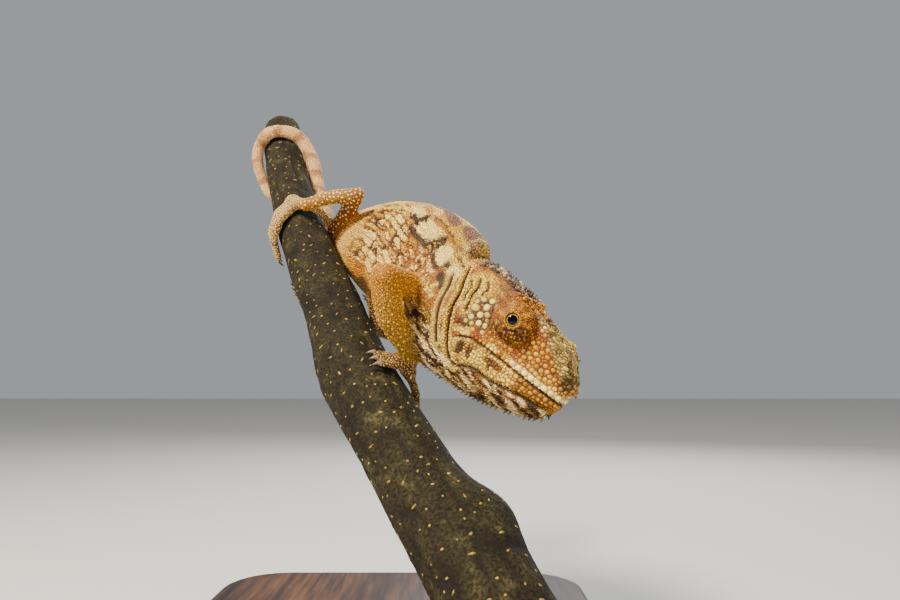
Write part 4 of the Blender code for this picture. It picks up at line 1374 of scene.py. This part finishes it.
def plant(places, ways, wanted, least, planted, spacing=None):
    """Tries each place in turn; planted is a list of (x, y, z, nx, ny, nz, half width), in mm."""
    reach = float(wanted.max() if spacing is None else spacing.max())
    cell = max(reach, 0.5)
    grid = {}

    def enter(scale):
        away = (scale[6] + reach) * PACKING
        spans = [range(int((v - away) // cell), int((v + away) // cell) + 1) for v in scale[:3]]
        for i in spans[0]:
            for j in spans[1]:
                for k in spans[2]:
                    grid.setdefault((i, j, k), []).append(scale)

    for scale in planted:
        enter(scale)
    kept = []
    rows = np.hstack([places / MM, ways, wanted[:, None]]).tolist()
    spaces = [0.0] * len(rows) if spacing is None else spacing.tolist()
    for number, ((x, y, z, nx, ny, nz, radius), space) in enumerate(zip(rows, spaces)):
        smallest = least * radius
        here = (int(x // cell), int(y // cell), int(z // cell))
        for ox, oy, oz, ax, ay, az, other in grid.get(here, ()):
            if nx * ax + ny * ay + nz * az < FACING_AWAY:
                continue
            gap = math.sqrt((x - ox) ** 2 + (y - oy) ** 2 + (z - oz) ** 2)
            if gap < space:
                break
            if gap < (radius + other) * PACKING:
                radius = gap / PACKING - other
                if radius < smallest:
                    break
        else:
            scale = (x, y, z, nx, ny, nz, radius)
            enter(scale)
            planted.append(scale)
            kept.append((number, radius))
    return kept


# %% [markdown]
# Some scales have their own places, and they are planted first, so that the others leave room. The
# largest line the lips. A few pale ovals lie behind the eye, a row of points runs along the brow,
# and on each turret the grain lies in rings round the pupil, because the lids are one round curtain.

# %% Scales with their own places
skin_tree = BVHTree.FromPolygons([Vector(p) for p in skin_points], triangles.tolist())


def spots_near(places):
    """The spots of the skin nearest to some places."""
    numbers = np.array([skin_tree.find_nearest(Vector(p))[2] for p in places])
    a, b, c = (corner_places[numbers, k] for k in range(3))
    ab, ac, ap = b - a, c - a, places - a
    d00, d01, d11, d20, d21 = dot(ab, ab), dot(ab, ac), dot(ac, ac), dot(ap, ab), dot(ap, ac)
    under = np.maximum(d00 * d11 - d01 * d01, 1e-30)
    v, w = (d11 * d20 - d01 * d21) / under, (d00 * d21 - d01 * d20) / under
    shares = np.clip(np.stack([1 - v - w, v, w], 1), 0, 1)
    return numbers, shares / shares.sum(1, keepdims=True)


def cast(starts, way):
    """Where rays from some places along one way meet the skin."""
    hits = [skin_tree.ray_cast(Vector(start), Vector(way))[0] for start in starts]
    return np.array([hit for hit in hits if hit is not None])


def on_side(f, u, side):
    """Places on the side of the head, seen from the right (1) or from the left (-1)."""
    return cast(head_place(f, u, 30.0 * side), -HEAD_AXES[2] * side)


# %% Lips, brow and cheek
LIP_ROWS = (  # start and end ahead, spacing, height over the mouth's line and half width
    (23.0, 36.0, 1.85, 1.15, 0.84),
    (9.0, 22.6, 1.15, 0.80, 0.52),
    (24.0, 36.4, 1.38, -0.85, 0.62),
    (9.0, 23.5, 1.0, -0.70, 0.46),
)
SNOUT_ROWS = ((-0.6, 1.5, 0.72), (-2.45, 1.3, 0.6))  # height, spacing and half width
CHEEK_OVALS = (  # places ahead and up, and half width
    (8.0, 8.1, 1.15),
    (10.4, 9.5, 1.0),
    (11.8, 8.0, 0.85),
    (10.1, 7.1, 0.9),
    (8.4, 5.6, 0.85),
    (10.9, 5.2, 0.85),
    (12.7, 5.4, 0.8),
    (10.7, 11.5, 0.9),
    (12.5, 10.9, 0.8),
    (8.6, 10.8, 0.8),
    (6.3, 6.4, 0.75),
    (12.9, 3.7, 0.7),
)
own_places, own_sizes = [], []


def keep(places, size):
    own_places.append(places)
    own_sizes.append(np.full(len(places), size))


brow = curve([(f, u, 0) for f, u in CANTHUS], 28)[0] / MM
for side in (1, -1):
    for start, end, spacing, over_mouth, size in LIP_ROWS:
        f = np.arange(start, end, spacing)
        keep(on_side(f, height_of(MOUTH, f) + over_mouth, side), size)
    keep(on_side(brow[:, 0], brow[:, 1] - 0.15, side), 0.5)
    for f, u, size in CHEEK_OVALS:
        keep(on_side([f], [u], side), size)
for u, spacing, size in SNOUT_ROWS:
    keep(cast(head_place(60.0, u, np.arange(-2, 3) * spacing), -HEAD_AXES[0]), size)
print("on lips, brow and cheek", sum(len(places) for places in own_places), "scales")


# %% Rings of beads on the turrets
for centre, gaze in turrets.values():
    over = above(gaze)
    front = np.cross(over, gaze)
    for off in np.arange(1.85, 5.6, 0.46):
        count = int(math.tau * off / 0.5)
        angle = np.arange(count) * math.tau / count + off * 2.4
        out = TURRET_SIZE[1] * math.sqrt(1 - (off / 6.05) ** 2)
        ring = front * np.cos(angle)[:, None] + over * np.sin(angle)[:, None]
        shaken = random.normal(0, 0.07 * MM, ring.shape)
        keep(centre + (gaze * out + ring * off) * MM + shaken, random.uniform(0.22, 0.31, count))
own = spots_near(np.vstack(own_places))
own_sizes = np.concatenate(own_sizes)
print("scales with their own places", len(own_sizes))


# %% Strew and plant
def try_spots(spots, size, least, spacing=None):
    """Plants scales at the spots that have room for them."""
    kept = plant(at_spots(skin_points, spots), unit(at_spots(normals, spots)), size, least, planted, spacing)
    rows = np.array([number for number, _ in kept])
    chosen_spots.append((spots[0][rows], spots[1][rows]))
    chosen_sizes.append(np.array([radius for _, radius in kept]))
    print(len(kept), "scales planted of", len(spots[0]), "tried")


LARGE_TRIES = 60000
SMALL_TRIES = 400000
LEAST = 0.55  # a small scale may shrink to this share of its wanted size

planted, chosen_spots, chosen_sizes = [], [], []
try_spots(own, own_sizes, LEAST)

# Only the rings of beads stand on the turrets, and nothing stands on the pupils or the mouth's line.
free = np.ones(len(triangles))
free[mean_of(np.where(place["eye_off"] < TURRET_RIM, place["turret"], 0)) > 0.3] = 0
free[place["eye_off"][triangles].min(1) < LENS_RADIUS] = 0
lip_gap = np.abs(place["u"] - height_of(MOUTH, place["f"]))
free[mean_of(np.where((place["f"] > 7) & (place["head"] > 0.5), lip_gap, 9)) < 0.3] = 0

large = strew(free * (mean_of(tubercle_sizes) > 0.25), LARGE_TRIES)
try_spots(large, at_spots(tubercle_sizes, large), 0.95, at_spots(tubercle_gaps, large) * 0.8)
small = strew(free / np.maximum(mean_of(grains), 0.2) ** 2, SMALL_TRIES)
try_spots(small, at_spots(grains, small), LEAST)

# %% [markdown]
# Each scale now gets its way to face, which is the skin's normal, a way to lie, along the body, its
# length, width and height, its colour, and its spot on the unwrapped skin.

# %% What each scale knows
spots = tuple(np.concatenate([row[k] for row in chosen_spots]) for k in range(2))
radius = np.concatenate(chosen_sizes)
facing = unit(at_spots(normals, spots))
scale_at = body_places(at_spots(skin_points, spots), at_spots(part_shares, spots))
root_uv = uv_at(spots)
core = (scale_at["trunk"] + scale_at["neck"] * 0.5)[:, None]
lie = scale_at["spine_way"] * core + HEAD_AXES[0] * (scale_at["head"] + scale_at["neck"] * 0.5)[:, None]
lie += scale_at["limb_way"] * sum(scale_at[name] for name in ("arm", "hand", "leg", "foot"))[:, None]
lie += scale_at["tail_way"] * scale_at["tail"][:, None]
for centre, gaze in turrets.values():
    ring = np.cross(gaze, scale_at["points"] - centre)
    lie += unit(ring) * (scale_at["turret"] * (scale_at["eye_off"] < 8))[:, None] * 2
lie = unit(unit(lie) + random.normal(0, 0.22, lie.shape))

throat = scale_at["head"] * ramp_up(scale_at["u"], -4.5, -6.0)
snout = scale_at["head"] * ramp_up(scale_at["u"] - height_of(CANTHUS, scale_at["f"]), -1.0, 0.2)
stretch = 1.05 + 0.52 * throat + 0.25 * snout + 0.12 * scale_at["turret"]
stretch = stretch + 0.3 * on_flank(scale_at) * scale_at["trunk"]
stretch = stretch * (1 + random.normal(0, 0.07, len(radius)))
crown = snout * ramp_up(scale_at["f"], 26, 20)
height = 0.74 + 0.25 * throat + 0.1 * snout + 0.6 * crown - 0.2 * ramp_up(radius, 0.5, 0.75)
height = radius * height * random.uniform(0.8 - 0.3 * crown, 1.2 + 0.7 * crown)
big = ramp_up(radius, 0.40, 0.72) + ramp_up(radius, 0.34, 0.42) * (scale_at["arm"] + scale_at["leg"])
big = np.clip(big + 0.9 * ramp_up(radius, 0.24, 0.30) * (scale_at["hand"] + scale_at["foot"]), 0, 1)
scale_colours = marking(scale_at, big) * np.exp(random.normal(0, 0.13, (len(radius), 1)))
scale_colours = scale_colours * np.exp(random.normal(0, 0.05, scale_colours.shape))
print(len(radius), "scales,", (2 * radius.min()).round(2), "to", (2 * radius.max()).round(2), "mm wide")

# %% [markdown]
# One tree of Geometry Nodes makes the horn from those numbers. Its scale is a closed cone with few
# sides, swollen towards a ball: at roundness 1 it is a dome, near 0 a thorn. The tree sets one on each
# point, makes the instances real, and gives each scale its patch of the map, which is three
# thousandths wide, at the place where the scale is rooted.


# %% The tree that makes scales
def horn_tree():
    """Geometry Nodes that set a piece of horn on each point, by its facing, lie, size and root_uv."""
    tree = bpy.data.node_groups.new("horn_on_points", "GeometryNodeTree")
    kinds = {"Points": "Geometry", "Sides": "Int", "Roundness": "Float", "Patch width": "Float"}
    for name, kind in {**kinds, "Finish": "Material"}.items():
        tree.interface.new_socket(name, in_out="INPUT", socket_type="NodeSocket" + kind)
    tree.interface.new_socket("Horn", in_out="OUTPUT", socket_type="NodeSocketGeometry")
    given = node(tree, "NodeGroupInput").outputs

    def store(geometry, name, value, kind="FLOAT", domain="POINT"):
        inputs = {"Geometry": geometry, "Name": name, "Value": value}
        return node(tree, "GeometryNodeStoreNamedAttribute", inputs, data_type=kind, domain=domain).outputs[0]

    def stored(name):
        inputs = {"Name": name}
        return node(tree, "GeometryNodeInputNamedAttribute", inputs, data_type="FLOAT_VECTOR").outputs[0]

    # A cone of height 1, swollen towards half a ball: its width becomes a circle's at each height.
    sizes = {"Side Segments": 2, "Radius Top": 0.0, "Radius Bottom": 1.0, "Depth": 1.0}
    cone = node(tree, "GeometryNodeMeshCone", {"Vertices": given["Sides"], **sizes}, fill_type="NGON")
    here = node(tree, "GeometryNodeInputPosition").outputs[0]
    up = node(tree, "ShaderNodeSeparateXYZ", {0: here}).outputs["Z"]
    ball = calculate(tree, "SQRT", calculate(tree, "SUBTRACT", 1.0, calculate(tree, "MULTIPLY", up, up)))
    swell = calculate(tree, "DIVIDE", ball, calculate(tree, "SUBTRACT", 1.001, up))
    width = node(tree, "ShaderNodeMix", {0: given["Roundness"], 2: 1.0, 3: swell}).outputs[0]
    wide = node(tree, "ShaderNodeCombineXYZ", {0: width, 1: width, 2: 1.0}).outputs[0]
    shaped = combine(tree, "MULTIPLY", here, wide)
    dome = node(tree, "GeometryNodeSetPosition", {"Geometry": cone.outputs["Mesh"], "Position": shaped})
    # the height on each scale, which the finish reads to paint shade at the rims
    horn = store(dome.outputs[0], "crown", up)
    horn = store(horn, "own_place", here, "FLOAT_VECTOR")

    # One on each point, made real.
    points = node(tree, "GeometryNodeMeshToPoints", {"Mesh": given["Points"]}).outputs[0]
    ways = {0: stored("facing"), 1: stored("lie")}
    turned = node(tree, "FunctionNodeAxesToRotation", ways, primary_axis="Z", secondary_axis="X").outputs[0]
    inputs = {"Points": points, "Instance": horn, "Rotation": turned, "Scale": stored("size")}
    instances = node(tree, "GeometryNodeInstanceOnPoints", inputs).outputs[0]
    real = node(tree, "GeometryNodeRealizeInstances", {0: instances}).outputs[0]

    # Its patch of the map: its own outline, made as small as the patch, round its root's spot.
    half = calculate(tree, "MULTIPLY", given["Patch width"], 0.5)
    inputs = {0: stored("own_place"), "Scale": half}
    patch = node(tree, "ShaderNodeVectorMath", inputs, operation="SCALE").outputs[0]
    mapped = store(real, UV_MAP, combine(tree, "ADD", patch, stored("root_uv")), "FLOAT2", "CORNER")
    for name in ("facing", "lie", "size", "own_place", "root_uv"):
        mapped = node(tree, "GeometryNodeRemoveAttribute", {"Geometry": mapped, "Name": name}).outputs[0]
    finished = node(tree, "GeometryNodeSetMaterial", {"Geometry": mapped, "Material": given["Finish"]})
    node(tree, "NodeGroupOutput", {0: finished.outputs[0]})
    return tree


horn = horn_tree()
HORN_INPUTS = {item.name: item.identifier for item in horn.interface.items_tree if item.in_out == "INPUT"}
print("inputs of the tree", list(HORN_INPUTS))


# %% From numbers to horn
SINK = (0.04, 0.12)  # a scale's rim lies this deep in the skin: millimetres, and a share of its height
PATCH_WIDTH = 0.003  # a scale's patch on the unwrapped skin, of which the whole map is 1 wide


def horn_piece(name, rows, finish, sides, roundness):
    """A piece of scales or thorns: rows gives places, facing, lie, sizes, colours and map spots."""
    places, ways, lies, sizes, colours, uvs = rows
    depth = SINK[0] + SINK[1] * sizes[:, 2:]
    mesh = mesh_from(name + "_roots", places - ways * depth * MM, [])
    flat_uv = np.pad(uvs, ((0, 0), (0, 1)))
    for key, values in {"facing": ways, "lie": lies, "size": sizes * MM, "root_uv": flat_uv}.items():
        add_vectors(mesh, key, values)
    add_colours(mesh, "marking", colours)
    roots = add_object(name + "_roots", mesh)
    modifier = roots.modifiers.new("horn", "NODES")
    modifier.node_group = horn
    settings = {"Sides": sides, "Roundness": roundness, "Patch width": PATCH_WIDTH, "Finish": finish}
    for key, value in settings.items():
        modifier[HORN_INPUTS[key]] = value
    made = applied(roots)
    roots.modifiers.clear()
    bpy.data.objects.remove(roots)
    made.name = name
    return place_piece(name, made, None)


# %% Finish of the scales
def keratin_material():
    """Horn over pigment cells: a satin gloss that breaks on fine pits, with painted shade at the rims."""
    made, tree, shader = new_material("keratin_scales", roughness=0.46, specular_ior_level=0.3)
    colour = known(tree, "marking").outputs["Color"]
    crown = known(tree, "crown").outputs["Fac"]
    # painted shade: a scale's colour darkens from its crown down to its rim
    up = node(tree, "ShaderNodeMapRange", {"Value": crown, "From Min": 0.02, "From Max": 0.4}).outputs[0]
    painted_rim_shade = combine(tree, "MULTIPLY", colour, (0.38, 0.29, 0.18))
    dress(tree, shader, mix_colours(tree, up, painted_rim_shade, colour), texture(tree, 3200.0, 2.0), 0.35, 0.0001)
    return made


keratin = keratin_material()

# %% Scales by region
sizes = np.stack([radius * stretch, radius / stretch, height], 1)


everything = (scale_at["points"], facing, lie, sizes, scale_colours, root_uv)
owner = np.array([scale_at[name] for name in part_numbers]).argmax(0)


def is_on(*parts):
    """Which scales stand on some of the body's parts."""
    return np.isin(owner, [part_numbers[part] for part in parts])


right = np.where(is_on("head", "turret"), scale_at["o"], scale_at["side"]) > 0
large_scale = (radius > 0.5) & ~is_on("turret")
REGIONS = {
    "trunk_right": is_on("trunk", "neck") & right,
    "trunk_left": is_on("trunk", "neck") & ~right,
    "head_right": is_on("head") & right,
    "head_left": is_on("head") & ~right,
    "turrets": is_on("turret"),
    "arms": is_on("arm", "hand"),
    "legs": is_on("leg", "foot"),
    "tail": is_on("tail"),
}
for name, region in REGIONS.items():
    chosen = region & ~large_scale
    horn_piece("scales_" + name, [values[chosen] for values in everything], keratin, 6, 0.85)
horn_piece("large_scales", [values[large_scale] for values in everything], keratin, 9, 0.95)

# %% [markdown]
# ## Crests
# Thorns stand in a row down the middle of the throat, leaning back, and smaller ones run along the
# ridge of the back. They are the same tree's horn, with little roundness.


# %% Thorns of throat and back
CHIN_THORNS = (31, 30)  # the second row stands between the first and is smaller

chin_f = np.concatenate([np.linspace(-3, 35, CHIN_THORNS[0]), np.linspace(-2.4, 34, CHIN_THORNS[1])])
chin_spots = spots_near(cast(head_place(chin_f, -40.0, 0.0), HEAD_AXES[1]))
chin = at_spots(skin_points, chin_spots)
chin_size = np.where(np.arange(len(chin)) < CHIN_THORNS[0], 1.0, 0.6)

ups = spine_up[8:119]
starts = spine_line[0][8:119] + ups * 0.06
back = [skin_tree.ray_cast(Vector(start), Vector(-up))[0] for start, up in zip(starts, ups)]
back = np.array([hit for hit in back if hit is not None])
back_spots = spots_near(back)
back_way = unit(at_spots(normals, back_spots) - 0.5 * unit(np.gradient(back, axis=0)))
thorn_spots = tuple(np.concatenate([chin_spots[k], back_spots[k]]) for k in range(2))
thorn_places = np.vstack([chin, back])
thorn_ways = unit(np.vstack([unit(at_spots(normals, chin_spots)) - 0.45 * HEAD_AXES[0], back_way]))
thorn_width = np.concatenate([0.46 * chin_size**0.5, np.full(len(back), 0.34)])
back_height = 0.45 + 0.5 * ramp_up(np.arange(len(back)), 50, 85)
thorn_height = np.concatenate([1.55 * chin_size, back_height * random.uniform(0.7, 1.25, len(back))])
thorn_at = body_places(thorn_places, at_spots(part_shares, thorn_spots))
thorn_colours = 0.5 * marking(thorn_at, np.full(len(thorn_places), 0.5)) + 0.5 * pigment("#8A7A60")
thorn_colours *= random.uniform(0.5, 1.1, (len(thorn_places), 1))
thorn_rows = (
    thorn_places,
    thorn_ways,
    unit(np.cross(thorn_ways, HEAD_AXES[2])),
    np.stack([thorn_width * 1.2, thorn_width, thorn_height], 1),
    thorn_colours,
    uv_at(thorn_spots),
)
horn_piece("crest_thorns", thorn_rows, keratin, 7, 0.25)

# %% [markdown]
# ## The skin itself
# Between the scales lies thin skin. It carries the same markings, darkened as painted shade of
# the gaps between the scales.


# %% Skin
# painted shade of the gaps between scales: the skin takes these shares of the markings' colour
GAP_SHADE_DARK = (0.36, 0.30, 0.15)  # skin's share of a scale's red, green and blue, in a dark marking
GAP_SHADE_PALE = (0.60, 0.48, 0.38)  # and in a pale one


def skin_material():
    """Skin between the scales: soft and matt, with wrinkles a few tenths of a millimetre apart."""
    made, tree, shader = new_material("living_skin", roughness=0.62, specular_ior_level=0.35)
    dress(tree, shader, known(tree, "marking").outputs["Color"], texture(tree, 2600.0, 3.0), 0.5, 0.0002)
    return made


pale = ramp_up(skin_colours[:, 2:], 0.06, 0.3)
add_colours(skin_mesh, "marking", skin_colours * ((1 - pale) * GAP_SHADE_DARK + pale * GAP_SHADE_PALE))
place_piece("skin", skin_mesh, skin_material(), FLESH)

# %% [markdown]
# ## Eyes
# Only the pupil shows, in the small round opening of the lids. What is seen is a wet, clear dome over
# a black pupil with a thin golden ring of iris. Each eye is a closed lens of rings about the gaze, and
# its colours come from the distance from the gaze, which the mesh carries as an attribute.

# %% Eyes
LENS_RISE = 0.75  # millimetres that its middle stands out from its rim
LENS_OUT = 4.20  # the rim's distance from the turret's centre
LENS_SIDES = 48
LENS_RINGS = 14


def eye_mesh(name, centre, gaze):
    over = above(gaze)
    across = np.cross(gaze, over)
    turns = np.arange(LENS_SIDES) * math.tau / LENS_SIDES
    rim = across * np.cos(turns)[:, None] + over * np.sin(turns)[:, None]
    curvature = (LENS_RADIUS**2 + LENS_RISE**2) / (2 * LENS_RISE)
    reach = LENS_RADIUS * np.sin(np.linspace(0, math.pi / 2, LENS_RINGS + 1)[1:])
    rings = [(r, LENS_OUT + LENS_RISE - curvature + math.sqrt(curvature**2 - r**2)) for r in reach]
    rings += [(LENS_RADIUS, LENS_OUT - 0.4), (0.9, LENS_OUT - 0.6)]
    points = [centre + (rim * r + gaze * out) * MM for r, out in rings]
    ends = [centre + gaze * out * MM for out in (LENS_OUT + LENS_RISE, LENS_OUT - 0.62)]
    faces = [face[::-1] for face in grid_faces(len(rings), LENS_SIDES)]
    inner, middle = (len(rings) - 1) * LENS_SIDES, len(rings) * LENS_SIDES
    for k in range(LENS_SIDES):
        following = (k + 1) % LENS_SIDES
        faces += [(k, following, middle), (inner + following, inner + k, middle + 1)]
    mesh = mesh_from(name, np.vstack([*points, ends]), faces)
    mesh.flip_normals()  # now they face outwards
    add_numbers(mesh, "from_gaze", np.append(np.repeat([r for r, _ in rings], LENS_SIDES), [0, 9]))
    return mesh


def eye_material():
    """A wet eye: clear tear film over the pupil and a golden iris, so black, sharp and mirror bright."""
    made, tree, shader = new_material("wet_eye", roughness=0.06, ior=1.38, specular_ior_level=0.3)
    half = calculate(tree, "MULTIPLY", known(tree, "from_gaze").outputs["Fac"], 0.5)
    pupil = [(0.0, "#020202"), (0.57, "#040302")]
    iris = [(0.60, "#3A240A"), (0.66, "#B89050"), (0.72, "#6E4A1C"), (0.78, "#140A04")]
    dress(tree, shader, toned(tree, half, pupil + iris))
    return made


wet_eye = eye_material()
for name, (centre, gaze) in turrets.items():
    place_piece("lens_" + name, eye_mesh("lens_" + name, centre, gaze), wet_eye, ["eye_" + name])

# %% [markdown]
# ## Claws
# Each toe ends in a claw of dark horn, curved down to the bark. The toes' ends are worked out the way
# the solids were: each bundle of toes runs over the bark from the palm to a distance and an angle.

# %% Claws
# The palm's distance and angle, the toes' radius, and for each bundle the number of toes, where they
# end and how far apart.
FEET = {
    "hand_right": ((-76, -2), 1.35, ((3, -74, 44, 2.0), (2, -83, -46, 1.8))),
    "hand_left": ((-47, -52), 1.35, ((3, -50, -140, 2.0), (2, -42, -22, 1.8))),
    "foot_right": ((3, 72), 1.7, ((3, -5, 172, 2.2), (2, -2, 0, 2.2))),
    "foot_left": ((-15, -78), 1.6, ((2, -9, -56, 2.0), (3, -18, -150, 2.2))),
}
CLAW_LENGTH = 1.7  # millimetres beyond the toe
CLAW_SIDES = 10
CLAW_RINGS = 8


def toe_ends():
    """For each toe its end, the way it points and the way down to the bark."""
    for (distance, degrees), thick, bundles in FEET.values():
        for toes, end_distance, end_degrees, spread in bundles:
            for toe in range(toes):
                offset = (toe - (toes - 1) / 2) * spread
                t = np.array([0.75, 1.0])
                along = distance + (end_distance - distance) * t + offset * (0.6 + 0.4 * t)
                turn = degrees + (end_degrees - degrees) * t
                before, end = on_branch(along, turn, thick + 0.35 + 0.5 * np.sin(math.pi * t))
                down = unit(on_branch(end_distance + offset, end_degrees) - end)
                yield end, unit(end - before), down, thick


turns = np.arange(CLAW_SIDES) * math.tau / CLAW_SIDES
claw_points, claw_faces, claw_share = [], [], []
for end, ahead_way, down, thick in toe_ends():
    side_way = unit(np.cross(ahead_way, down))
    root = len(claw_points) * CLAW_SIDES
    for share in np.linspace(0, 1, CLAW_RINGS):
        reach = 0.2 * thick + share * (0.75 * thick + CLAW_LENGTH)
        centre = end + (ahead_way * reach + down * (1.3 * share**2 - 0.25)) * MM
        half = 0.56 * (1 - share) ** 0.75 + 0.03
        lean = unit(ahead_way * 2.6 * share - down)
        ring = side_way * np.cos(turns)[:, None] * half + lean * np.sin(turns)[:, None] * half * 1.25
        claw_points.append(centre + ring * MM)
        claw_share.append(np.full(CLAW_SIDES, share))
    tip = root + (CLAW_RINGS - 1) * CLAW_SIDES
    claw_faces += grid_faces(CLAW_RINGS, CLAW_SIDES, root)
    claw_faces += [tuple(range(root, root + CLAW_SIDES))[::-1], tuple(range(tip, tip + CLAW_SIDES))]
claw_mesh = mesh_from("claws", np.vstack(claw_points), claw_faces)
add_numbers(claw_mesh, "to_tip", np.concatenate(claw_share))
outward = bmesh.new()
outward.from_mesh(claw_mesh)
bmesh.ops.recalc_face_normals(outward, faces=outward.faces)
outward.to_mesh(claw_mesh)
outward.free()


def claw_material():
    """Claw horn: layers of keratin, mottled, grey-brown at the root and near black at the tip."""
    made, tree, shader = new_material("claw_horn", roughness=0.28, specular_ior_level=0.55)
    share = known(tree, "to_tip").outputs["Fac"]
    mottled = calculate(tree, "MULTIPLY_ADD", texture(tree, 1500.0, 2.0), 0.3, share)
    dress(tree, shader, toned(tree, mottled, [(0.1, "#A08A6A"), (0.55, "#6A543C"), (1.0, "#1C1510")]))
    return made


place_piece("claws", claw_mesh, claw_material())

# %% [markdown]
# ## Lenticels on the bark
# The pale dashes on young bark are corky pores. They lie across the branch, two or three millimetres
# long, scattered but never touching. The tree that made the scales makes them too, each with its point
# in the bark, so that what shows is a flat cap less than a tenth of a millimetre high.

# %% Lenticels
PORE_TRIES = 2600
PORE_HEIGHT = 0.3  # millimetres

bark_tree = BVHTree.FromPolygons([Vector(p) for p in bark_all], bark_faces)
tried_s = random.uniform(branch_distance[0] + 3, branch_distance[-1] - 3, PORE_TRIES)
tried_a = random.uniform(0, 360, PORE_TRIES)
tried = on_branch(tried_s, tried_a)
branch_ways = unit(tried - on_branch(tried_s, tried_a, -4.0))
half_length = 0.25 + 0.75 * random.random(PORE_TRIES) ** 2
spacing = 1.6 + half_length + 3.0 * random.random(PORE_TRIES)
rows = np.array([number for number, _ in plant(tried, branch_ways, half_length, 1.0, [], spacing)])
count = len(rows)
hits = [bark_tree.find_nearest(Vector(p))[:2] for p in tried[rows]]
pore_places, pore_ways = (np.array(column) for column in zip(*hits))  # the ways point into the bark
long_way = unit(on_branch(tried_s + 1, tried_a) - tried)[rows]
across_way = unit(np.cross(pore_ways, long_way) + random.normal(0, 0.6, (count, 3)))
half_width = random.uniform(0.2, 0.38, count)
pore_sizes = np.stack([half_length[rows], half_width, np.full(count, PORE_HEIGHT)], 1)


def cork_material():
    """Cork: dead, dry, pale cells that crumble, so yellowish, matt and pitted."""
    made, tree, shader = new_material("corky_lenticels", roughness=0.9, specular_ior_level=0.2)
    crumbs = texture(tree, 1800.0, 3.0)
    tone = toned(tree, crumbs, [(0.3, "#4E3E1C"), (0.5, "#947A36"), (0.7, "#C2A558")])
    dress(tree, shader, tone, crumbs, 0.6, 0.0002)
    return made


pore_rows = (pore_places, pore_ways, across_way, pore_sizes, np.ones((count, 3)), np.zeros((count, 2)))
horn_piece("lenticels", pore_rows, cork_material(), 8, 0.8)

# %% [markdown]
# ## The stand
# The base is a turned plate of dark walnut with an oiled finish, and the rod and its collar are
# brushed steel. Their solids have the right shape already, so that they only get their materials.


# %% Stand materials
def walnut_material():
    """Oiled walnut: dark brown, with straight grain a few millimetres wide and open pores along it."""
    made, tree, shader = new_material("oiled_walnut", roughness=0.38, specular_ior_level=0.4)
    along = drawn_out(tree, (1.0, 0.07, 1.0))
    bands = calculate(tree, "MULTIPLY", texture(tree, 90.0, 3.0, along), 0.55)
    pores = texture(tree, 420.0, 5.0, along, Distortion=0.4)
    both = calculate(tree, "MULTIPLY_ADD", pores, 0.5, bands)
    tone = toned(tree, both, [(0.36, "#1C100A"), (0.48, "#3A2416"), (0.58, "#553620"), (0.70, "#6E4A2E")])
    dress(tree, shader, tone, pores, 0.12, 0.0003)
    return made


def steel_material():
    """Brushed stainless steel: a grey metal whose fine scratches spread the highlight round the rod."""
    grey = paint("#B9BABB")
    made, tree, shader = new_material("brushed_steel", base_color=grey, metallic=1.0, roughness=0.3)
    scratches = texture(tree, 120.0, 4.0, drawn_out(tree, (1.0, 1.0, 40.0)))
    rough = node(tree, "ShaderNodeMapRange", {"Value": scratches, "To Min": 0.22, "To Max": 0.42})
    tree.links.new(rough.outputs[0], shader.inputs["Roughness"])
    dress(tree, shader, None, scratches, 0.1, 0.0001)
    return made


steel = steel_material()
for name, material in {"stand_base": walnut_material(), "stand_rod": steel, "stand_collar": steel}.items():
    for material_slot in nodes[name].material_slots:
        material_slot.material = material
    print(name, "is now", material.name)
